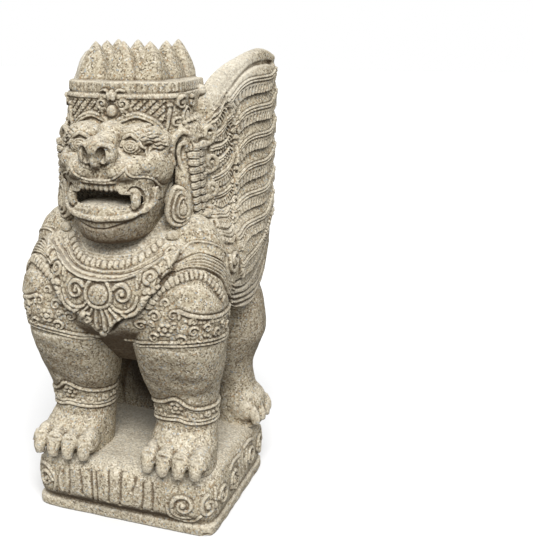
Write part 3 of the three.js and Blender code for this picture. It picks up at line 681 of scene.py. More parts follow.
def finish_piece(thing):
    _, seed, most_triangles = FINENESS[thing.name]
    skin = Skin(thing)
    weather(skin, seed)
    attribute = thing.data.attributes.new("depth", "FLOAT", "POINT")
    attribute.data.foreach_set("value", depth_of(skin).astype(np.float32))
    print(thing.name, "is carved in", len(thing.data.polygons), "faces")
    most_triangles /= COARSER**2
    if len(thing.data.polygons) * 2 > most_triangles:
        fewer = thing.modifiers.new("fewer", "DECIMATE")
        fewer.ratio = most_triangles / (len(thing.data.polygons) * 2)
        apply_modifiers(thing)
    mesh = thing.data
    co = Skin(thing).co
    co[:, 2] = np.maximum(co[:, 2], 0)  # nothing sinks below the floor
    mesh.vertices.foreach_set("co", (co * MM).ravel())
    mesh.polygons.foreach_set("use_smooth", np.ones(len(mesh.polygons), bool))
    mesh.update()
    mesh.materials.clear()
    mesh.materials.append(stone)
    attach(thing, "root")
    mesh.calc_loop_triangles()
    print(thing.name, len(mesh.loop_triangles), "triangles")


# %% [markdown]
# ## The plinth
#
# A thin slab with a square edge, and on it a block that swells like a cushion and bows forward under the
# toes. Both are stacks of nearly square rings. The front is carved with upright flutes and scrolls.

# %% The plinth's two blocks
PLINTH = {"half_width": 166, "half_depth": 153, "top": 114, "slab": 18, "bow": 0.11}


def bowed_plinth(p):
    slab, half_width = PLINTH["slab"], PLINTH["half_width"]
    share = soft_step(slab, slab + 30, p.z) * (1 - 0.8 * (p.x / half_width) ** 2)
    return Vector((p.x, p.y * (1 + PLINTH["bow"] * share) if p.y < 0 else p.y, p.z))


def plinth_blocks(bm):
    w, d, top, slab = (PLINTH[k] for k in ("half_width", "half_depth", "top", "slab"))
    edge = [(0, 1, 14), (4, 0, 14), (slab - 2, 0, 14), (slab, 3, 14), (slab + 3, 14, 13)]
    limb(bm, [[z, 0, 0, w - inset, d - inset, square] for z, inset, square in edge], 96, spacing=0)
    cushion = [
        [slab - 4, 0, 0, w - 9, d - 8, 12],
        [slab + 5, 0, 0, w - 4, d - 3, 11],
        [slab + 20, 0, 0, w + 1, d + 3, 9],
        [top - 45, 0, 0, w + 3, d + 5, 8],
        [top - 20, 0, 0, w, d + 2, 7],
        [top - 7, 0, 0, w - 8, d - 8, 6],
        [top - 1, 0, 0, w - 22, d - 24, 6],
        [top, 0, 0, w - 60, d - 60, 5],
    ]
    limb(bm, cushion, 96, bowed_plinth, spacing=5)


# %% The plinth's carving
# The x and z of each flute's top, and of its foot.
FLUTES = [
    (-89, 87, -92, 40), (-69, 91, -65, 47), (-47, 92, -46, 31), (-38, 93, -36, 33), (-14, 99, -14, 44),
    (9, 101, 6, 40), (36, 97, 30, 72), (50, 91, 46, 41), (66, 92, 65, 40),
]
FLUTE = (3.2, 2.7)  # half width and depth
CUSHION_FOOT = PLINTH["slab"] + 2  # nothing is carved below it


def carve_plinth_front(skin):
    _, y, z = skin.co.T
    face = Relief(skin, front_view, (y < -110) & (skin.normal[:, 1] < -0.2) & (z > CUSHION_FOOT))
    for top_x, top_z, foot_x, foot_z in FLUTES:
        middle = (mix(top_x, foot_x, 0.5) + 2, mix(top_z, foot_z, 0.5))
        face.groove([(top_x, top_z), middle, (foot_x, foot_z)], *FLUTE)
    face.curl((119, 59), 21, 3.6, 4.5, 185, -1, 1.2)
    face.ridge([(92, 56), (97, 36), (114, 26), (134, 28), (147, 40)], 3, 3.5, (1, 0.7))
    face.ridge([(98, 58), (102, 43), (115, 35), (130, 36)], 2.4, 3, (1, 0.6))
    face.curl((157, 56), 12, 3, 4, 100, 1, 1.1, tall=2)
    face.curl((-139, 58), 18, 3.6, 4.5, 10, 1, 1.15)
    face.ridge([(-157, 80), (-140, 84), (-125, 76), (-117, 62), (-122, 40)], 3, 3.5)
    face.ridge([(-104, 88), (-108, 66), (-104, 44)], 2.8, 3)
    face.carve()


def carve_plinth_sides(skin):
    for direction in (1, -1):
        face = Relief(skin, side, (skin.normal[:, 0] * direction > 0.3) & (skin.co[:, 2] > CUSHION_FOOT))
        for y, hand, start in ((-104, -1, 170), (-50, 1, 10), (50, -1, 170), (104, 1, 10)):
            face.curl((y, 58), 22, 3.8, 4.5, start, hand, 1.2)
            face.ridge([(y + 27 * hand, 84), (y + 30 * hand, 58), (y + 20 * hand, 34)], 3, 3.5)
        for y in (-10, 0, 10):
            face.groove([(y, 94), (y, 64), (y, 36)], 3.2, 3)
        face.ridge([(-66, 88), (-45, 92), (-14, 90)], 3, 3)
        face.ridge([(14, 92), (45, 92), (66, 86)], 3, 3)
        face.carve()


def carve_plinth_back(skin):
    face = Relief(skin, front_view, (skin.normal[:, 1] > 0.3) & (skin.co[:, 2] > CUSHION_FOOT))
    for x in range(-120, 121, 30):
        face.groove([(x, 88), (x, 62), (x, 36)], 3.2, 2.6)
    face.carve()


# Broken places on the edges: centre and radii.
CHIPS = [
    ((-92, -156, 17), (13, 5, 5)), ((-74, -157, 15), (7, 4, 6)), ((120, -155, 18), (8, 4, 3)),
    ((167, -60, 17), (4, 10, 4)), ((-167, 40, 16), (4, 9, 5)), ((152, -146, 3), (9, 9, 4)),
]


def chip(skin, centre, radii):
    """Whatever lies inside an egg shape is drawn back behind it."""
    near = (((skin.co - np.array(centre)) / np.array(radii)) ** 2).sum(1)
    chosen = np.flatnonzero(near < 1)
    skin.push(chosen, -min(radii) * (1 - near[chosen]))


bm = bmesh.new()
plinth_blocks(bm)
plinth, skin = block_out("plinth", bm, 2)
carve_plinth_front(skin)
carve_plinth_sides(skin)
carve_plinth_back(skin)
for centre, radii in CHIPS:
    chip(skin, centre, radii)
finish_piece(plinth)

# %% [markdown]
# ## Chest and forelegs
#
# The trunk is a deep chest that leans back into the neck. The forelegs are pillars with broad shoulders.
# Over the chest hangs a pointed bib, cut as a raised plate with scrolls, rays and a round jewel on it, and
# over the bib lie a smooth collar and a row of square beads.

# %% Trunk and forelegs
TRUNK = [
    [258, 0, 8, 50, 45, 2.2],
    [278, 0, -8, 98, 90, 2.3],
    [320, 0, -28, 128, 120, 2.4],
    [362, 0, -45, 148, 150, 2.4],
    [400, 0, -53, 157, 153, 2.5],
    [440, 0, -55, 155, 151, 2.5],
    [472, 0, -50, 150, 138, 2.5],
    [505, 0, -38, 126, 110, 2.4],
    [545, 0, -26, 94, 92, 2.5],
    [575, 0, -24, 70, 70, 2.4],
]
FORELEG = [
    [104, 97, -92, 50, 46, 2.5],
    [140, 97, -92, 53, 55, 2.4],
    [176, 95, -84, 51, 53, 2.3],
    [196, 95, -83, 52, 54, 2.3],
    [217, 95, -84, 53, 55, 2.3],
    [246, 92, -91, 60, 61, 2.4],
    [285, 93, -101, 69, 70, 2.4],
    [327, 94, -111, 72, 77, 2.4],
    [380, 96, -118, 75, 81, 2.4],
    [432, 94, -108, 76, 83, 2.3],
    [470, 86, -96, 74, 79, 2.2],
    [500, 74, -84, 66, 66, 2.1],
    [520, 60, -74, 40, 42, 2],
]


SHOULDER_BLADE = [(131, -64, 424), (37, 46, 64)]  # it carries the folds over to the wing
SHOULDER_TOP = [(104, -100, 460), (62, 45, 80)]  # it fills the slope under the ear's drop


# %% Paws
PAW_TOP = 178  # the anklet starts above it


def toes(bm, middle, ahead, spacing, size, cuffs=(0.62, 0.8)):
    """Four toes in a row, each a swelling with a pointed claw and a thin cuff behind it."""
    half_width, length, height = size
    ahead = Vector(ahead)
    aside = UP.cross(ahead)
    turn = math.atan2(ahead.y, ahead.x) + math.pi / 2
    for step in (-1.5, -0.5, 0.5, 1.5):
        at = Vector(middle) + aside * step * spacing - ahead * 2 * step * step
        egg(bm, at, (half_width, length, height), (0.35, 0, turn))
        root = at + ahead * (length * 0.66) + UP * (height * 0.1)
        tip = at + ahead * length - UP * (height * 1.1)
        middle_of_claw = (root + tip) / 2 + ahead * 4
        roll(bm, [root, middle_of_claw, tip], lambda t: half_width * (0.94 - 0.38 * t), away=ahead)
        for back in cuffs:
            over = at + ahead * (length * back) + UP * (height * (1.06 - back * 0.72))
            low = at + ahead * (length * back) - UP * (height * 0.3)
            cuff = [low - aside * half_width, over - aside * half_width * 0.66, over + UP * 1.5,
                    over + aside * half_width * 0.66, low + aside * half_width]
            roll(bm, cuff, 1.9, 8, away=ahead)


def forepaw(bm):
    pad = [
        [106, 101, -112, 53, 42, 3],
        [130, 101, -112, 54, 45, 2.8],
        [148, 100, -110, 55, 48, 2.6],
        [162, 98, -103, 52, 47, 2.5],
        [182, 95, -90, 48, 44, 2.3],
    ]
    limb(bm, pad)
    toes(bm, (101, -150, 137), (0, -1, 0), 28, (15.2, 27, 21))


# %% [markdown]
# All these lines are drawn on charts. The bib's halves mirror each other, apart from one scroll that the
# carver set on the lion's right side only.

# %% Collar, beads and bib
COLLAR = [(0, 447), (37, 451), (65, 462), (88, 477), (101, 488)]
BEAD_ROW = [(-4, 466), (30, 469), (52, 477), (68, 489), (79, 502)]
BIB_FOOT = 345  # below it the leg's own carving starts
BIB = [
    (-13, 366), (0, 357), (13, 366), (22, 377), (36, 388), (48, 392), (60, 400), (71, 416), (75, 424),
    (84, 433), (92, 442), (100, 455), (106, 462), (112, 489), (93, 479), (65, 462), (37, 450), (0, 446),
    (-20, 446),
]
RAYS = [((4, 402), (6, 372)), ((11, 403), (18, 379)), ((18, 405), (31, 388)), ((25, 406), (43, 394))]


def carve_chest(skin):
    x, y, z = skin.co.T
    outward = -skin.normal[:, 1]
    chest = Relief(skin, front, (z > BIB_FOOT) & (y < -60) & (outward > -0.1) & (np.abs(x) < 130))
    chest.plate(BIB, 11, 2)
    chest.groove([(x * 1.03, z - 2.5) for x, z in BIB[1:13]], 3.4, 6)
    chest.ridge(COLLAR, 5.5, 8, (1, 0.7), moat=1.6)
    chest.ridge([(0, 457), (37, 461), (62, 472), (84, 487)], 1.8, 2.4, (1, 0.6), moat=1)
    chest.beads(BEAD_ROW, 9.5, 5.8, 5.5, 2.6, moat=2)
    chest.ridge([(0, 478), (34, 481), (54, 490), (70, 504)], 1.5, 1.4, (1, 0.5), moat=0.8)
    carve_bib(chest)
    chest.carve()
    outward = -skin.normal[:, 1]
    lone = Relief(skin, front_view, (z > 360) & (z < 400) & (y < -60) & (outward > 0) & (np.abs(x) < 60))
    lone.curl((-21, 384), 11, 2.8, 5, 60, 1, 1.15)
    lone.carve()


def carve_bib(chest):
    t = np.linspace(0, math.pi, 9)
    chest.dome((0, 424), (17, 15), 5, moat=1.6)
    chest.ridge([(21.5 * math.sin(a), 426 + 21 * math.cos(a)) for a in t], 3, 4.5, moat=1.6)
    chest.curl((38, 428), 16, 3.4, 5.5, 150, -1, 1.2)
    chest.ridge([(20, 412), (30, 404), (44, 403), (55, 411), (60, 425)], 2.4, 3.6, moat=1.6)
    for foot, tip in RAYS:
        middle = (mix(foot[0], tip[0], 0.5) + 1.5, mix(foot[1], tip[1], 0.5))
        chest.ridge([foot, middle, tip], 3.4, 4, (0.7, 1), moat=1.6)
    chest.dome((0, 363), (6, 6), 4, moat=1.6)
    chest.ridge([(48, 396), (58, 404), (66, 416), (68, 424)], 3.2, 4, moat=1.6)
    chest.dome((69, 423), (5, 5), 4, moat=1.4)
    chest.dome((73, 434), (6, 5), 4, 30, moat=1.4)
    chest.curl((76, 452), 10, 2.8, 5, 250, -1, 1.15)
    chest.ridge([(62, 446), (64, 458), (74, 465), (86, 461), (92, 452)], 2.4, 3.6, moat=1.4)
    chest.ridge([(60, 438), (58, 450), (61, 462)], 2.2, 3, moat=1.4)
    chest.curl((99, 486), 9.5, 2.8, 5, 200, -1, 1.15)
    chest.ridge([(80, 474), (90, 478), (100, 474), (105, 463)], 2.4, 3.6, moat=1.4)


# %% [markdown]
# The shoulder wears a row of pleats under five thin folds, a smooth dome, and a broad armband full of
# curls. It is drawn on a chart rolled round the leg: degrees from the front, outwards, and height.

# %% Shoulder, armband and anklet
SHOULDER_AXIS, SHOULDER_RADIUS = (95, -112), 80
PLEATS = [
    (-15, 405), (-9, 420), (-3, 433), (11, 447), (27, 455), (42, 457), (52, 452), (60, 443), (69, 429),
    (79, 409),
]
FOLDS_TOP = [
    (-3, 455), (1, 462), (10, 471), (30, 481), (55, 485), (76, 478), (94, 464), (105, 445), (115, 427),
    (127, 416),
]
FOLDS_LOW = [
    (-4, 444), (4, 454), (15, 462), (33, 467), (54, 463), (68, 454), (81, 441), (98, 410), (112, 396),
    (127, 385),
]
ARM_DOME = [
    (9, 433), (24, 444), (43, 443), (60, 429), (78, 406), (82, 391), (53, 392), (33, 398), (18, 408),
]
ARM_CURLS = [
    (-14, 410, 7, 40, 1), (-22, 394, 7, 40, 1), (34, 388, 7, 200, -1), (58, 384, 6, 20, 1),
    (76, 383, 6, 160, -1), (14, 381, 6, 60, 1), (-10, 380, 6, 160, -1), (42, 358, 6, 200, 1),
    (72, 356, 6, 160, -1), (-36, 386, 8, 40, 1), (5, 416, 8, 200, -1), (14, 398, 10, 330, 1),
    (-6, 394, 10, 160, -1), (-8, 358, 10, 40, 1), (22, 358, 10, 140, -1), (34, 372, 9, 30, 1),
    (50, 374, 8, 160, -1), (64, 362, 9, 20, 1), (80, 370, 9, 150, -1), (-22, 376, 9, 40, 1),
    (98, 360, 9, 20, 1), (112, 372, 8, 160, -1),
]
TOP_FOLD = [(22, 486), (36, 496), (60, 501), (80, 497), (98, 484), (114, 462), (126, 444)]
DOME_RIM = [(19, 405), (33, 397), (53, 391), (81, 387), (110, 387), (140, 388)]
BAND_RIM = [(-50, 338), (-35, 341), (-1, 351), (38, 354), (95, 345), (140, 343)]
ANKLE_AXIS, ANKLE_RADIUS = (95, -84), 55
ANKLET_TOP = [
    (-178, 214), (-100, 216), (-47, 223), (-17, 230), (4, 240), (19, 228), (35, 220), (62, 217), (102, 214),
    (178, 214),
]
ANKLET_LOW = [
    (-178, 188), (-100, 188), (-61, 190), (-21, 195), (6, 198), (22, 194), (61, 189), (110, 185),
    (178, 188),
]


def carve_shoulder(skin):
    x, y, z = skin.co.T
    apart = np.hypot(np.abs(x) - SHOULDER_AXIS[0], y - SHOULDER_AXIS[1])
    on_leg = (z > 322) & (z < 515) & (apart < 105) & (y < -20)
    leg = Relief(skin, round_leg(*SHOULDER_AXIS, SHOULDER_RADIUS), on_leg)

    def at(*points):
        return at_angle(SHOULDER_RADIUS, *points)

    leg.plate(at(*ARM_DOME), 4, 9)
    leg.beads(at(*PLEATS), 8.6, 7, 5, 3.2, moat=2)
    leg.plate(at(*FOLDS_TOP, *FOLDS_LOW[::-1]), 3, 2)
    for k in range(6):
        fold = [mix(np.array(low), np.array(top), k / 5) for low, top in zip(FOLDS_LOW, FOLDS_TOP)]
        leg.groove(at(*fold), 1.7, 4)
    leg.ridge(at(*TOP_FOLD), 2.2, 2.8, (0.6, 1))
    leg.ridge(at(*DOME_RIM), 3.4, 4.5, moat=1.6)
    for drop, wide in ((0, 2.6), (6, 2.2)):
        leg.ridge(at(*[(a, h - drop) for a, h in BAND_RIM]), wide, 3.2, moat=1.4)
    leg.flower(at((5, 374))[0], 12, 6, 4.5)
    for angle, height, radius, start, hand in ARM_CURLS:
        leg.curl(at((angle, height))[0], radius, 2.5, 4.2, start, hand, 1.1)
    leg.beads(at((24, 390), (45, 384), (81, 380), (120, 380)), 7, 2.6, 2.6, 2.4)
    leg.beads(at((40, 362), (52, 361), (60, 350)), 7, 3, 2.6, 2.2)
    leg.carve()


def carve_anklet(skin):
    x, y, z = skin.co.T
    apart = np.hypot(np.abs(x) - ANKLE_AXIS[0], y - ANKLE_AXIS[1])
    on_leg = (z > PAW_TOP) & (z < 250) & (apart < 75) & (np.abs(x) > 30)
    leg = Relief(skin, round_leg(*ANKLE_AXIS, ANKLE_RADIUS), on_leg)

    def at(*points):
        return at_angle(ANKLE_RADIUS, *points)

    leg.ridge(at(*ANKLET_TOP), 2.8, 4, moat=1.5)
    leg.ridge(at(*ANKLET_LOW), 2.6, 3.6, moat=1.5)
    leg.ridge(at(*[(a, h + 6) for a, h in ANKLET_LOW]), 1.8, 2.4, moat=1.2)
    leg.flower(at((2, 221))[0], 12, 6, 4.5)
    for angle in (-160, -128, -96, -66, -36, 32, 62, 92, 122, 152):
        hand = 1 if angle > 0 else -1
        leg.curl(at((angle, 206))[0], 7.5, 2.2, 3.6, 90 + 60 * hand, hand, 1.0)
        leg.dome(at((angle + 15, 204))[0], (3.4, 3.4), 3, moat=1.2)
    leg.carve()


# %% [markdown]
# The body and the lower legs are one stone, but two meshes, so that each can be fine enough for its
# carving. They meet under the armband, where the leg steps back a little.

# %% The fore body and the forelegs
BAND_FOOT = 330
STEP_BACK = [[BAND_FOOT - 3, 94, -111, 73.2, 78.2, 2.4], [BAND_FOOT + 9, 94, -113, 73, 78, 2.4]]
shoulder_rows = [row for row in FORELEG if row[0] > BAND_FOOT - 10]
shin_rows = [row for row in FORELEG if row[0] < BAND_FOOT - 10]

bm = bmesh.new()
limb(bm, TRUNK)
both_sides(limb, bm, shoulder_rows)
both_sides(egg, bm, *SHOULDER_BLADE)
both_sides(egg, bm, *SHOULDER_TOP)
body, skin = block_out("fore_body", bm, 5, firm_below=BIB_FOOT)
carve_chest(skin)
carve_shoulder(skin)
finish_piece(body)
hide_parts(LION)

bm = bmesh.new()
both_sides(limb, bm, shin_rows + STEP_BACK)
both_sides(forepaw, bm)
legs, skin = block_out("forelegs", bm, 4, firm_below=PAW_TOP)
carve_anklet(skin)
finish_piece(legs)

# %% [markdown]
# ## Hindquarters
#
# The hind legs bend at the hock, the rump closes the back between them, and the tail lies flat up the back
# and ends in a tuft. Little of this shows from the front, so it is kept plain.

# %% Rump, hind legs and tail
HIND_LEG = [
    [104, 127, 108, 38, 36, 2.8],
    [150, 126, 107, 38, 38, 2.6],
    [190, 116, 104, 38, 42, 2.3],
    [225, 108, 98, 45, 50, 2.2],
    [257, 110, 96, 54, 55, 2.2],
    [290, 116, 94, 60, 60, 2.2],
    [331, 115, 92, 58, 64, 2.2],
    [380, 104, 86, 56, 62, 2.2],
    [430, 80, 74, 42, 46, 2],
]
HIND_PAW = [
    [106, 130, 105, 42, 45, 2.8], [140, 134, 105, 42, 46, 2.6], [160, 132, 105, 41, 44, 2.5],
    [178, 120, 104, 36, 38, 2.4],
]
RUMP = [
    [104, 0, 106, 112, 42, 3],
    [200, 0, 106, 106, 44, 2.8],
    [270, 0, 102, 110, 50, 2.6],
    [340, 0, 90, 118, 59, 2.5],
    [400, 0, 66, 122, 66, 2.5],
    [460, 0, 30, 112, 66, 2.4],
    [515, 0, 10, 100, 60, 2.4],
]
TAIL = [(0, 146, 150), (0, 148, 230), (0, 148, 300), (0, 134, 390), (0, 98, 470), (0, 78, 520)]


def tail(bm):
    roll(bm, TAIL, lambda t: mix(17, 12, t), 16, away=(0, 1, 0), flat=0.7)
    egg(bm, (0, 70, 545), (24, 17, 38))
    for offset in (-12, 12):
        egg(bm, (offset, 72, 530), (12, 14, 30), (0, 0.3 * math.copysign(1, offset), 0))


bm = bmesh.new()
limb(bm, RUMP)
both_sides(limb, bm, HIND_LEG)
both_sides(limb, bm, HIND_PAW)
both_sides(toes, bm, (149, 104, 140), (1, 0, 0), 25, (12, 28, 22), ())
tail(bm)
rear, skin = block_out("hindquarters", bm, 3)
finish_piece(rear)

# %% [markdown]
# ## The head
#
# A broad skull with swellings for brows, cheeks, muzzle and nose. It is melted and softened first, like a
# face blocked out in clay, and the eye sockets are pressed in. Then the open mouth is cut out as a hollow.

# %% Skull, neck and face
SKULL = [
    [501, 0, -152, 34, 44, 2.2],
    [508, 0, -140, 52, 64, 2.3],
    [530, 0, -125, 64, 86, 2.4],
    [561, 0, -116, 76, 94, 2.5],
    [590, 0, -112, 80, 98, 2.5],
    [618, 0, -108, 86, 98, 2.5],
    [640, 0, -104, 87, 84, 2.5],
    [658, 0, -100, 88, 60, 2.7],
    [674, 0, -92, 88, 40, 3],
    [700, 0, -88, 86, 28, 3],
]
NECK = [
    [500, 0, -34, 108, 90, 2.4],
    [545, 0, -26, 95, 92, 2.5],
    [610, 0, -20, 98, 74, 2.6],
    [700, 0, -40, 94, 50, 3],
]
MUZZLE = [(28, -184, 614), (35, 31, 22)]
UNDER_EYE = [(55, -152, 624), (34, 41, 24)]
CHEEK = [(62, -140, 616), (30, 44, 36)]
BROW = [(46, -148, 663), (34, 34, 19)]
BROW_END = [(67, -135, 650), (23, 31, 21)]
NOSTRIL_WING = [(17, -204, 640), (14, 19, 18)]
NOSE = [(0, -208, 650), (22, 24, 18.5)]
NOSE_BRIDGE = [(0, -178, 655), (21, 22, 16)]
COLUMELLA = [(0, -211, 633), (8, 16, 16)]
PHILTRUM = [(0, -188, 614), (22, 22, 20)]
FOREHEAD_KNOT = [(0, -153, 668), (23, 27, 17)]
EYE = [(44, -173, 649), (19, 13, 13.5)]
UPPER_LID = [
    (26, -186, 651), (30, -186, 660), (36, -184, 665), (44, -181, 667), (52, -178, 661), (58, -173, 653),
    (63, -168, 645), (67, -163, 638),
]
LOWER_LID = [(26, -186, 651), (31, -187, 643), (40, -186, 638), (52, -180, 636), (67, -163, 638)]
NOSTRIL = [(13, -222, 640), (7.5, 13, 13.5)]
MOUTH = [
    [555, 0, -165, 50, 40, 2.6], [562, 0, -172, 60, 50, 2.6], [575, 0, -172, 62, 60, 2.6],
    [579, 0, -172, 57, 60, 2.6], [582, 0, -172, 37, 58, 2.6], [598, 0, -172, 34, 52, 2.6],
]
ROUGH_VOXEL = 1.5  # the head is melted twice, and the first time needs no fine voxels


def carve_sockets(skin):
    x, y, z = skin.co.T
    face = Relief(skin, front, (y < -120) & (skin.normal[:, 1] < -0.35) & (z > 590))
    almond = [(x, z) for x, _, z in UPPER_LID + LOWER_LID[-2:0:-1]]
    face.plate(almond, -3.2, 4)
    face.carve()


bm = bmesh.new()
limb(bm, SKULL)
limb(bm, NECK)
for centre, radii in (MUZZLE, UNDER_EYE, CHEEK, BROW, BROW_END, NOSTRIL_WING):
    both_sides(egg, bm, centre, radii)
for centre, radii in (NOSE, NOSE_BRIDGE, COLUMELLA, PHILTRUM, FOREHEAD_KNOT):
    egg(bm, centre, radii)
head, skin = block_out("head", bm, 13, voxel=ROUGH_VOXEL)
carve_sockets(skin)
bm = bmesh.new()
limb(bm, MOUTH, spacing=3)
both_sides(egg, bm, *NOSTRIL)
hollow(head, as_object("mouth and nostrils", bm))

# %% [markdown]
# Eyes, teeth, tongue, tusks and lips are rolls and eggs set into the face, as a modeller would add sausages
# and pellets of clay. A second melt joins them to it.

# %% Eyes and mouth
LIP = [
    (0, 602), (14, 602), (25, 604), (34, 609), (41, 615), (45, 621), (49, 613), (54, 608), (61, 606),
    (69, 605), (76, 601), (78, 593), (77, 583), (75, 568),
]
LOWER_LIP = [
    (75, -164, 588), (74, -166, 568), (66, -180, 556), (50, -196, 548), (28, -207, 544), (0, -212, 542),
]
GUM = [(-36, -200, 601), (-18, -208, 600), (0, -210, 600), (18, -208, 600), (36, -200, 601)]
MOUTH_CORNER = [(60, -180, 588), (65, -175, 580), (65, -175, 568), (60, -181, 558)]
TONGUE = [(0, -166, 557), (50, 44, 9)]
TUSK, TUSK_ROOT = [(53, -189, 573), (8, 8, 17)], [(50, -189, 560), (6, 6, 9)]
NOSTRIL_RIM = [
    (4, -221, 642), (6, -224, 651), (11, -224, 656), (18, -221, 656), (25, -215, 650), (28, -211, 639),
    (26, -211, 629), (19, -213, 622), (12, -211, 620),
]


def rim_thickness(t):
    return mix(3.4, 2.4, t) * (1 - 0.6 * abs(2 * t - 1) ** 4)


def teeth(bm, count, spacing, z, size, bend):
    """A row of teeth across the middle. bend says how far back a tooth stands, from its x."""
    for k in range(count):
        x = (k - (count - 1) / 2) * spacing
        egg(bm, (x, -205 + bend(abs(x)), z), size, fine=16)


def features(bm):
    both_sides(egg, bm, *EYE)
    both_sides(roll, bm, NOSTRIL_RIM, rim_thickness, away=(0, -1, 0))
    both_sides(roll, bm, LOWER_LIP, 5, away=(0, -0.6, 1))
    egg(bm, *TONGUE)
    roll(bm, GUM, 5, away=(0, -1, 0))
    teeth(bm, 8, 8, 591, (4.4, 5, 7.5), lambda x: x * 0.14)
    teeth(bm, 12, 7.6, 555, (3.9, 4.5, 8), lambda x: x**2 * 0.008)
    both_sides(egg, bm, *TUSK, (0, -0.12, 0))
    both_sides(egg, bm, *TUSK_ROOT)
    both_sides(roll, bm, MOUTH_CORNER, 4.2, away=(0, -1, 0))


# %% [markdown]
# The ear is a rim bent like a hook, with a small curl inside, and a strap falls from it to a drop-shaped
# ornament. Behind it the mane hangs in two columns of blocks, and four locks roll up beside the wing.

# %% Ear, mane and locks
EAR_RIM = [
    (87, -126, 616), (86, -129, 634), (89, -127, 652), (97, -119, 665), (106, -110, 664), (113, -104, 652),
    (114, -103, 634), (112, -105, 606), (109, -106, 578),
]
EAR_CURL = [
    (102, -115, 604), (97, -119, 620), (95, -120, 636), (98, -118, 647), (105, -113, 647), (106, -112, 636),
]
STRAP = [[566, 101, -111, 13, 11, 2.6], [592, 99, -112, 12, 12, 2.6], [612, 98, -108, 12, 8, 2.6]]
MANE = [
    [508, 104, -80, 15, 28, 3], [545, 103, -84, 16, 31, 3], [600, 101, -84, 17, 32, 3],
    [662, 98, -80, 16, 32, 3], [676, 94, -78, 10, 24, 3],
]
BACK_HAIR = [
    [506, 104, -58, 13, 26, 3], [545, 104, -56, 14, 30, 3], [620, 102, -54, 15, 32, 3],
    [672, 98, -54, 15, 32, 3], [688, 92, -54, 8, 24, 3],
]
# The y, z and radius of each lock's curl.
LOCKS = [(-56, 657, 21), (-50, 611, 19), (-49, 568, 17), (-58, 533, 15)]
WING_WARD = (0.88, -0.47, 0)  # the way the locks look out
EAR_WARD = (0.7, -0.7, 0)  # the way the ear does
DROP_TURN = 37  # degrees, of the drop below the ear
# The beads between the ear and the crown, in three rows.
EAR_BEADS = ([(91, -130, 657), (99, -112, 670), (105, -96, 671), (111, -80, 662), (117, -66, 648)],
             [(93, -124, 666), (100, -106, 679), (104, -88, 682), (108, -70, 684)],
             [(109, -92, 661), (113, -80, 652), (118, -68, 638)])


def lock_place(y, z):
    return (119 + (y + 60) * 0.25 + 8 * soft_step(-50, -30, y) + 9 * soft_step(556, 530, z), y, z)


def lock(bm, y, z, radius):
    """A strand that comes out of the mane, runs round under a disc of hair and winds up to its middle."""
    wide = 0.3 * radius
    spiral = []
    for t in np.linspace(0, 1, 16):
        angle = math.radians(-90 + 450 * t)
        r = (radius - wide) * (1 - 0.68 * t)
        spiral.append((y + r * math.cos(angle), z + r * math.sin(angle)))
    stem = [(y - 1.9 * radius, z - radius + wide + 4), (y - 1.2 * radius, z - radius + wide)]
    roll(bm, [lock_place(*p) for p in stem + spiral], lambda t: wide * mix(1, 0.62, t), away=WING_WARD)
    upper = [(y - 1.9 * radius, z - radius + 3.2 * wide), (y - 0.9 * radius, z - radius + 2.9 * wide)]
    roll(bm, [lock_place(*p) for p in upper], wide * 0.7, away=WING_WARD)
    x = lock_place(y, z)[0]
    egg(bm, (x - 9, y, z), (9, radius * 0.95, radius * 0.95))
    egg(bm, (x + 3, y, z), (4, 3.4, 3.4), fine=12)


def side_hair(bm):
    roll(bm, EAR_RIM, lambda t: mix(6.2, 4.2, t), away=EAR_WARD)
    limb(bm, STRAP)
    limb(bm, MANE)
    roll(bm, EAR_CURL, lambda t: mix(3, 4, t), away=EAR_WARD)
    egg(bm, (97, -125, 550), (21, 12, 36), (0, 0, math.radians(DROP_TURN)))
    egg(bm, (93, -139, 508), (12, 8, 9), (0, 0, math.radians(DROP_TURN)), fine=16)
    limb(bm, BACK_HAIR)
    for place in LOCKS:
        lock(bm, *place)
    for row in EAR_BEADS:
        for place in smooth_line(row, 8)[1:-1]:
            egg(bm, place, (5, 4.2, 4.2), fine=12)


bm = bmesh.new()
features(bm)
both_sides(side_hair, bm)
merge(head, bm)
melt(head, FINENESS["head"][0])


# %% [markdown]
# The last lines are too fine for shapes of their own, so they are drawn: the edge of the lip, lids, iris
# and pupil, the hair of the brows, the blocks of the mane and the rings of the drop below the ear.

# %% The fine lines of the face
BROW_HAIR = [
    [(44, 679), (51, 681), (58, 678), (65, 679)], [(48, 673), (55, 675), (62, 671), (69, 673), (74, 670)],
    [(54, 668), (61, 670), (67, 666), (74, 668), (80, 664)],
    [(59, 662), (65, 664), (72, 660), (78, 662), (84, 658)],
    [(63, 656), (69, 658), (75, 654), (81, 656), (86, 652)],
    [(66, 650), (72, 652), (78, 648), (83, 650), (87, 646)], [(70, 644), (76, 645), (81, 642), (86, 644)],
]


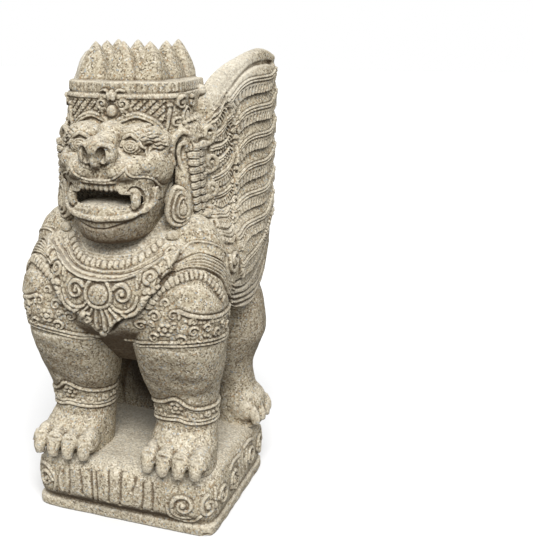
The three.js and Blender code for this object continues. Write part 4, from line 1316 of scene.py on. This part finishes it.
def carve_face(skin):
    x, y, z = skin.co.T
    in_mouth = (y > -178) & (np.abs(x) < 64) & (z > 548) & (z < 600)
    facing = skin.normal[:, 1] < np.where((z > 610) & (np.abs(x) < 60), -0.3, 0.3)
    nostril_wing = (np.abs(x) > 20) & (y < -192) & (z > 632)
    face = Relief(skin, front, (y < -95) & facing & ~in_mouth & ~nostril_wing & (z > 505) & (z < 700))
    face.ridge(LIP, 1.7, 1.8, moat=1)
    face.ridge([(x, z) for x, _, z in UPPER_LID], 3.4, 3.8, (1, 0.35), moat=1.5)
    face.groove([(x, z) for x, _, z in LOWER_LID[1:]], 2.4, 3)
    for x, foot in ((8, 620), (13, 618), (18, 620)):
        face.groove([(x + 1, 633), (x, 627), (x - 2, foot)], 1.1, 1.6)
    for hair in BROW_HAIR:
        face.groove(hair, 1.6, 3)
    for scale, depth in ((0.95, 2), (0.62, 2), (0.28, 2)):
        t = np.linspace(0, 2 * math.pi, 13)
        face.groove([(43 + 15 * scale * math.cos(a), 650 + 11 * scale * math.sin(a)) for a in t], 1.4, depth)
    face.groove([(-12, 528), (0, 527), (14, 528), (30, 533), (50, 541), (64, 549)], 2, 2.4)
    face.ridge([(5, 620), (5, 613), (3, 606)], 1.6, 1.2, moat=0.6)
    t = np.linspace(-2.4, 2.4, 11)
    face.groove([(53 + 10.5 * math.cos(a), 573 + 18 * math.sin(a)) for a in t], 1.8, 3.2)
    face.carve()


def carve_hair(skin):
    x, y, z = skin.co.T
    outward = skin.normal[:, 0] * np.sign(x)
    in_mane = (np.abs(x) > 100) & (outward > 0.25) & (y > -118) & (y < -60) & (z < 662) & (z > 515)
    mane = Relief(skin, side, in_mane)
    mane.beads([(-104, 648), (-104, 600), (-101, 565), (-95, 530)], 12, 10, 6, 3.5, strands=2, moat=2.4)
    mane.beads([(-81, 648), (-80, 600), (-77, 565), (-74, 528)], 12.6, 11, 6.5, 3.5, strands=2, moat=2.4)
    mane.carve()
    on_drop = (y < -105) & (np.abs(x) > 74) & (z > 508) & (z < 590)
    drop = Relief(skin, facing(96, -126, DROP_TURN), on_drop)
    t = np.linspace(0, 2 * math.pi, 17)
    for scale, shift, wide, high in ((0.92, 0, 2.6, 3), (0.7, 3, 2, 2.6), (0.48, 6, 1.8, 2.4)):
        across = shift + 18.5 * scale * np.sin(t)
        up = 550 + scale * (32 * np.cos(t) + 4 * np.cos(2 * t))
        drop.ridge(np.column_stack((across, up)), wide, high, moat=1.5)
    drop.dome((6, 548), (6, 10), 3, moat=1.2)
    for k in (-1, 0, 1):
        drop.groove([(6 + k * 2.6, 556), (6 + k * 3.2, 548), (6 + k * 2.6, 541)], 0.9, 1)
    drop.carve()


skin = Skin(head)
skin.soften(2)
carve_face(skin)
carve_hair(skin)
finish_piece(head)

# %% [markdown]
# ## The crown
#
# A square band with a bowed front carries eight pointed petals. Each side of it shows a lattice in a frame,
# and the front an arch over the brows with a jewel and four curls between.

# %% Crown and petals
CROWN = {"half_width": 98, "front": -118, "back": 4, "bottom": 656, "top": 741, "bow": 36, "square": 10}
PETAL = {"half_width": 25.5, "half_depth": 24, "tip": 800, "square": 4.5}
PETAL_ROWS = [
    [(-51, -98), (0, -106), (41, -98)], [(-51, -57), (51, -57)], [(-50, -16), (-15, -16), (56, -18)],
]


def bowed_crown(p):
    middle = (CROWN["front"] + CROWN["back"]) / 2
    share = 1 - soft_step(CROWN["front"] * 0.8, middle, p.y)
    return Vector((p.x, p.y - CROWN["bow"] * (1 - (p.x / CROWN["half_width"]) ** 2) * share, p.z))


def crown_block(bm):
    middle = (CROWN["front"] + CROWN["back"]) / 2
    deep = (CROWN["back"] - CROWN["front"]) / 2
    low, top = CROWN["bottom"], CROWN["top"]
    insets = [(low, 0), (700, 0), (714, 0), (715, -1), (723, -1), (725, 1), (top - 2, 2), (top, 4)]
    rows = [[z, 0, middle, CROWN["half_width"] - i, deep - i, CROWN["square"]] for z, i in insets]
    limb(bm, rows, 96, bowed_crown, spacing=0)


def petals(bm):
    foot = CROWN["top"] - 4
    rise = PETAL["tip"] - foot
    outline = [(0, 1), (0.2, 0.97), (0.46, 0.78), (0.7, 0.52), (0.89, 0.24), (1, 0.02)]
    for x, y in (place for row in PETAL_ROWS for place in row):
        wide, deep = PETAL["half_width"], PETAL["half_depth"]
        rows = [[foot + rise * h, x, y, wide * r, deep * r, PETAL["square"]] for h, r in outline]
        limb(bm, rows, 32, spacing=4)


# %% The crown's carving
FRONT_FIELD = [
    (26, 714), (80, 714), (78, 668), (73, 681), (66, 688), (60, 692), (46, 698), (32, 699), (29, 704),
]
ARCH = [(12, 684), (24, 689), (37, 692), (50, 689), (63, 682), (73, 671), (80, 657)]
SIDE_FIELD = [(-40, 713), (-2, 713), (-2, 664), (-40, 664)]


MEDAL_RIM = [(-93, 702), (-104, 696), (-106, 685), (-93, 674), (-80, 685), (-82, 696), (-93, 702)]
FRIEZE = (726, 738)
LATTICE = 9.4  # the pitch of its long cuts


def frieze(relief, left, right):
    low, high = FRIEZE
    relief.hatch([(left, low), (right, low), (right, high), (left, high)], 90, 8.2, 1.2, 1.3)
    relief.groove([(left, low - 1), (right, low - 1)], 1.3, 1.8)


def lattice(relief, field, angle):
    relief.hatch(field, angle, LATTICE, 1.4, 3.6)
    relief.hatch(field, angle + 90, 6.6, 1, 2.2, stagger=LATTICE)


def carve_crown_front(skin):
    face = Relief(skin, front, (skin.normal[:, 1] < -0.35) & (skin.co[:, 2] < CROWN["top"]))
    frieze(face, 0, 96)
    face.ridge([(0, 719), (50, 719), (94, 719)], 3.4, 1.2, moat=1.4)
    face.ridge(ARCH, 5, 4.5, moat=1.8)
    face.groove(ARCH, 1, 2.2)
    face.dome((0, 698), (8.5, 9.5), 8, moat=2)
    face.curl((17, 709), 10, 3, 6, 250, 1, 1.15)
    face.curl((19, 692), 7.5, 2.4, 5, 120, -1, 1.05)
    face.ridge([(3, 716), (6, 724), (12, 729), (19, 727)], 3, 7, (1, 0.6), moat=1.6)
    face.dome((0, 722), (4, 8), 8, moat=1.6)
    face.ridge([(77, 660), (81, 680), (84, 700)], 3, 4.5, (0.8, 1), moat=1.6)
    face.dome((84, 706), (4.5, 4.5), 5, moat=1.4)
    face.curl((93, 680), 8.5, 2.6, 4.5, 60, 1, 1.1)
    face.carve()
    plain = Relief(skin, front_view, (skin.normal[:, 1] < -0.35) & (skin.co[:, 2] < CROWN["top"]))
    for way in (1, -1):
        lattice(plain, [(x * way, z) for x, z in FRONT_FIELD], 45)
    plain.carve()


def carve_crown_sides(skin):
    for direction in (1, -1):
        face = Relief(skin, side, (skin.normal[:, 0] * direction > 0.5) & (skin.co[:, 2] < CROWN["top"]))
        frieze(face, -125, 4)
        lattice(face, SIDE_FIELD, -45)
        face.curl((-109, 709), 12, 3, 5.5, 60, 1, 1.15)
        face.curl((-73, 708), 11, 3, 5.5, 120, -1, 1.15)
        face.dome((-93, 688), (8, 10), 5.5, moat=2)
        face.ridge(MEDAL_RIM, 2.2, 4, moat=1.6)
        face.curl((-56, 680), 10, 2.8, 5, 120, -1, 1.1)
        face.curl((-70, 668), 7, 2.4, 4.5, 60, 1, 1.0)
        face.carve()


def carve_crown_back(skin):
    _, y, z = skin.co.T
    face = Relief(skin, front, (skin.normal[:, 1] > 0.5) & (z < CROWN["top"]) & (y > -20))
    frieze(face, 0, 96)
    lattice(face, [(6, 712), (86, 712), (86, 664), (6, 664)], 45)
    face.carve()


bm = bmesh.new()
crown_block(bm)
petals(bm)
both_sides(egg, bm, (98, -33, 722), (10, 9, 9))
crown, skin = block_out("crown", bm, 2)
carve_crown_front(skin)
carve_crown_sides(skin)
carve_crown_back(skin)
finish_piece(crown)

# %% [markdown]
# ## The wings
#
# Each wing is a bent slab, made from a cube cut into a grid whose points are moved into place. The broad
# bevel that runs up its front edge stays smooth. The feathers lie over each other like shingles: each
# swells towards its lower edge, drops there, and carries a rib and slanted barbs.

# %% Wing slabs
WING = {"outer": 167, "thickness": 26, "flare": 46}
WING_FOOT = smooth_line(
    [(160, -88, 392), (163, -40, 368), (160, 5, 356), (163, 55, 354), (166, 105, 378), (162, 148, 440)]
)
WING_GROOVE = smooth_line(
    [(118, -36, 676), (130, -18, 706), (146, 20, 740), (157, 62, 756), (165, 112, 758), (167, 147, 752)]
)
WING_RIDGE = smooth_line(
    [(97, -42, 704), (108, -18, 741), (126, 16, 763), (143, 70, 778), (154, 112, 781), (161, 146, 770)]
)
WING_ROOT = (156, -62, 457)


def along(line, t):
    place = np.clip(t, 0, 1) * (len(line) - 1)
    low = int(min(place, len(line) - 2))
    return mix(line[low], line[low + 1], place - low)


def wing_face(y, z):
    """How far out the wing's outer face is: above the shoulder it flares towards the back."""
    flare = (1 - np.clip((y + 40) / 150, 0, 1)) ** 1.5 * soft_step(455, 560, z)
    return WING["outer"] - WING["flare"] * flare


def wing_place(p):
    """x runs from the front edge to the back one, y from the foot to the bevel, z from inside to outside."""
    across, v, layer = p.x + 0.5, p.y + 0.5, p.z + 0.5
    inward = float(np.interp(layer, [0, 1 / 3, 2 / 3, 1], [1, 1, 0.6, 0]))
    top = mix(along(WING_GROOVE, across), along(WING_RIDGE, across), inward)
    on = mix(along(WING_FOOT, across), top, v)
    on[2] += 7 * math.sin(2 * math.pi * across) * math.sin(math.pi * v)
    if v > 0.999:
        on += np.array([5, 0, 5]) * math.sin(math.pi * inward)  # the bevel is rounded
    z = mix(392, 676, v)
    y = mix(-86, -40, soft_step(0.22, 0.55, v)) - 10 * math.sin(math.pi * v)
    front = np.array([wing_face(y, z) - inward * WING["thickness"], y - inward * 16, z + inward * 24 * v])
    on = mix(on, front, (1 - across) ** 3 * (1 - soft_step(0.9, 1, v)))
    if v < 0.999 or layer > 0.999:
        on[0] = wing_face(on[1], on[2]) - inward * WING["thickness"]
    if layer < 1 / 3:
        share = 1 - layer * 3
        inner = min(on[0] - 14, 98 + (on[1] + 40) * 0.13)
        on[0] = mix(on[0], inner, share)
        on[2] -= 18 * v * v * share
    return Vector(on)


def wing_slab(bm):
    cube = bmesh.ops.create_cube(bm, size=1)["verts"]
    edges = list({e for v in cube for e in v.link_edges})
    bmesh.ops.subdivide_edges(bm, edges=edges, cuts=29, use_grid_fill=True)
    for v in bm.verts:
        v.co = wing_place(v.co)
    egg(bm, WING_ROOT, (14, 30, 26))


# %% Feathers
# The lower edges of the feathers as y and z: the long ones behind the beaded line, the short ones before it.
LONG_EDGES = [
    [(-37, 680), (-30, 693), (-22, 707), (-12, 721), (-2, 734), (11, 743), (30, 753), (56, 757), (150, 756)],
    [(-3, 680), (7, 690), (16, 699), (31, 706), (54, 710), (85, 711), (115, 714), (131, 723), (150, 738)],
    [(12, 638), (15, 648), (24, 655), (33, 659), (49, 663), (77, 665), (113, 665), (131, 673), (150, 686)],
    [(13, 588), (16, 599), (26, 606), (37, 613), (59, 618), (93, 618), (123, 623), (135, 630), (150, 642)],
    [(8, 539), (12, 553), (24, 561), (39, 567), (62, 569), (90, 571), (114, 576), (132, 585), (150, 597)],
    [(-14, 506), (2, 513), (21, 518), (38, 520), (64, 521), (94, 522), (112, 529), (124, 539), (145, 554)],
    [(-26, 464), (-8, 470), (13, 475), (39, 476), (67, 476), (91, 477), (109, 484), (133, 501), (145, 512)],
    [(-26, 419), (-3, 420), (20, 420), (42, 425), (64, 434), (82, 442), (99, 454), (123, 474), (140, 490)],
]
SHORT_EDGES = [
    [(-44, 680), (-30, 697), (-20, 712), (-12, 724)],
    [(-44, 652), (-38, 656), (-33, 662), (-25, 669), (-19, 676), (-14, 684), (-11, 694)],
    [(-44, 640), (-37, 642), (-28, 642), (-21, 643), (-13, 646), (-6, 653), (-1, 664)],
    [(-44, 620), (-37, 620), (-26, 621), (-17, 625), (-8, 632), (0, 641), (5, 652)],
    [(-44, 597), (-37, 598), (-26, 600), (-18, 604), (-9, 610), (0, 620), (7, 634)],
    [(-44, 565), (-36, 566), (-27, 568), (-17, 570), (-7, 575), (1, 582), (7, 592)],
    [(-45, 540), (-36, 537), (-27, 534), (-15, 537), (-4, 543), (6, 555), (8, 570)],
    [(-92, 520), (-60, 507), (-42, 503), (-26, 506), (-12, 517), (-3, 530)],
    [(-92, 498), (-74, 488), (-54, 482), (-40, 484), (-28, 492)],
]
BEADED_LINE = [
    (-10, 706), (-2, 688), (4, 666), (10, 640), (11, 616), (9, 591), (8, 566), (4, 547), (-4, 527),
    (-20, 508), (-30, 498),
]
FOLDS = [
    [(-104, 452), (-90, 440), (-75, 427), (-56, 418), (-24, 415), (20, 418), (53, 426), (82, 440),
     (118, 464)],
    [(-104, 440), (-90, 428), (-75, 416), (-52, 407), (-5, 398), (39, 400), (70, 410), (102, 426),
     (124, 445)],
    [(-102, 427), (-88, 416), (-72, 404), (-47, 395), (7, 386), (59, 386), (91, 394), (117, 417)],
    [(-98, 414), (-82, 403), (-66, 393), (-42, 385), (18, 375), (65, 375), (98, 385), (115, 398)],
    [(-92, 400), (-76, 391), (-58, 382), (-37, 375), (35, 364), (70, 365), (92, 374)],
]


COMB_DEPTH, COMB_BACK = 5.4, 144  # the barbs' cuts, and where they end before the wing's rear edge


def shingles(relief, edges, chosen, high, rib_at, comb, pitch):
    """Raises each feather from its upper edge to its lower one, with a double rib and a comb of barbs."""
    u, v = relief.flat.T
    for upper, lower in zip(edges, edges[1:]):
        edge = smooth_line(lower, 1.5)
        top, foot = (np.interp(u, *line.T) for line in (smooth_line(upper, 1.5), edge))
        t = (top - v) / np.maximum(top - foot, 1)
        on = np.flatnonzero(chosen & (t > 0) & (t <= 1))
        s, gap = t[on], (top - foot)[on]
        relief.ground[on] += high * soft_step(-0.1, rib_at, s)
        off = np.abs(s - rib_at) * gap
        relief.lift(on, 2 * np.sqrt(np.clip(1 - ((off - 2.4) / 1.9) ** 2, 0, 1)))
        relief.sink(on, 1.6 * np.clip(1 - off / 1.3, 0, 1))
        relief.sink(on, 1.8 * np.clip(1 - np.abs(off - 5.2) / 1.5, 0, 1))
        if upper is not edges[0]:
            relief.sink(on, 2.8 * np.clip(1 - s * gap / 3.2, 0, 1))
        ids, far, along, aside, _ = relief.near(edge, comb + 1)
        teeth = chosen[ids] & (aside > 0) & (far > 1) & (far < comb) & (u[ids] < COMB_BACK)
        wave = np.clip(np.cos(2 * math.pi * (along - 0.25 * far) / pitch) * 1.9 - 0.4, 0, 1)
        relief.sink(ids[teeth], COMB_DEPTH * wave[teeth])


def cut_along(skin, line, half_width, depth):
    """A cut along a line in space, where the skin turns too much for a chart."""
    low, high = line.min(0) - half_width, line.max(0) + half_width
    near = np.flatnonzero(((skin.co > low) & (skin.co < high)).all(1))
    p = skin.co[near]
    square = (p**2).sum(1)[:, None] - 2 * p @ line.T + (line**2).sum(1)
    skin.push(near, -depth * np.clip(1 - square.min(1) / half_width**2, 0, 1))


def carve_wing(skin):
    co = skin.co
    facing_out = skin.normal[:, 0] * np.sign(co[:, 0])
    low_front = (co[:, 1] < -60) & (co[:, 2] < 460)
    outer = Relief(skin, side, (facing_out > np.where(low_front, 0, 0.2)) & (np.abs(co[:, 0]) > 108))
    u, v = outer.flat.T
    line = smooth_line(BEADED_LINE, 2)[::-1]
    middle = np.interp(v, line[:, 1], line[:, 0])
    shingles(outer, LONG_EDGES, u > middle, 7, 0.5, 13, 8.6)
    front_end = np.where(v < 535, -92, -46)
    shingles(outer, SHORT_EDGES, (u <= middle) & (v > 480) & (u > front_end), 4.5, 0.42, 8.5, 6)
    outer.ridge(BEADED_LINE, 2.4, 4)
    outer.curl(WING_ROOT[1:], 23, 4.2, 6, 150, 1, 1.25)
    for fold in FOLDS:
        outer.groove(fold, 2.6, 4.6)
    outer.carve()
    border = smooth_line([(wing_face(y, z), y, z) for _, y, z in WING_GROOVE if y < 132], 1.0)
    cut_along(skin, border * [1 if co[:, 0].mean() > 0 else -1, 1, 1], 4.6, 4.6)


for name, direction in (("wing_left", 1), ("wing_right", -1)):
    bm = bmesh.new()
    wing_slab(bm)
    bmesh.ops.scale(bm, vec=(direction, 1, 1), verts=bm.verts)
    wing, skin = block_out(name, bm, 3)
    carve_wing(skin)
    finish_piece(wing)

# %% [markdown]
# ## Light and floor
#
# A white floor, a white sky that lights the statue evenly, and a broad soft sun high in front. A sun lights
# the whole floor the same, so floor and sky meet without an edge. To the camera the floor is white, but it
# throws little light back, so that the undersides of the carving stay dark.


# %% Studio
SKY = 0.53
SUN = 3.4
SUN_FROM = (0.38, -0.86, 1.0)
SUN_BREADTH = 35  # degrees
FLOOR = {"seen": 0.92, "bounce": 0.2}


def studio():
    bm = bmesh.new()
    bmesh.ops.create_grid(bm, x_segments=1, y_segments=1, size=12)
    floor = as_object("floor", bm)
    paint = bpy.data.materials.new("white studio floor")
    paint.use_nodes = True
    shader = paint.node_tree.nodes["Principled BSDF"]
    shader.inputs["Roughness"].default_value = 0.95
    seen = node(paint.node_tree, "ShaderNodeLightPath").outputs["Is Camera Ray"]
    tone = blend(paint.node_tree, seen, grey(FLOOR["bounce"]), grey(FLOOR["seen"]))
    paint.node_tree.links.new(tone, shader.inputs["Base Color"])
    floor.data.materials.append(paint)
    world = bpy.data.worlds.new("studio")
    bpy.context.scene.world = world
    world.use_nodes = True
    tree = world.node_tree
    seen = node(tree, "ShaderNodeLightPath").outputs["Is Camera Ray"]
    strength = node(tree, "ShaderNodeMapRange", {"Value": seen, "To Min": SKY, "To Max": 1.0})
    tree.links.new(strength.outputs["Result"], tree.nodes["Background"].inputs["Strength"])
    tree.nodes["Background"].inputs["Color"].default_value = (1, 1, 1, 1)
    light = bpy.data.lights.new("sun", "SUN")
    light.energy = SUN
    light.angle = math.radians(SUN_BREADTH)
    sun = bpy.data.objects.new("sun", light)
    bpy.context.scene.collection.objects.link(sun)
    sun.rotation_euler = Vector(SUN_FROM).to_track_quat("Z", "Y").to_euler()
    bpy.context.scene.view_settings.view_transform = "Standard"


studio()
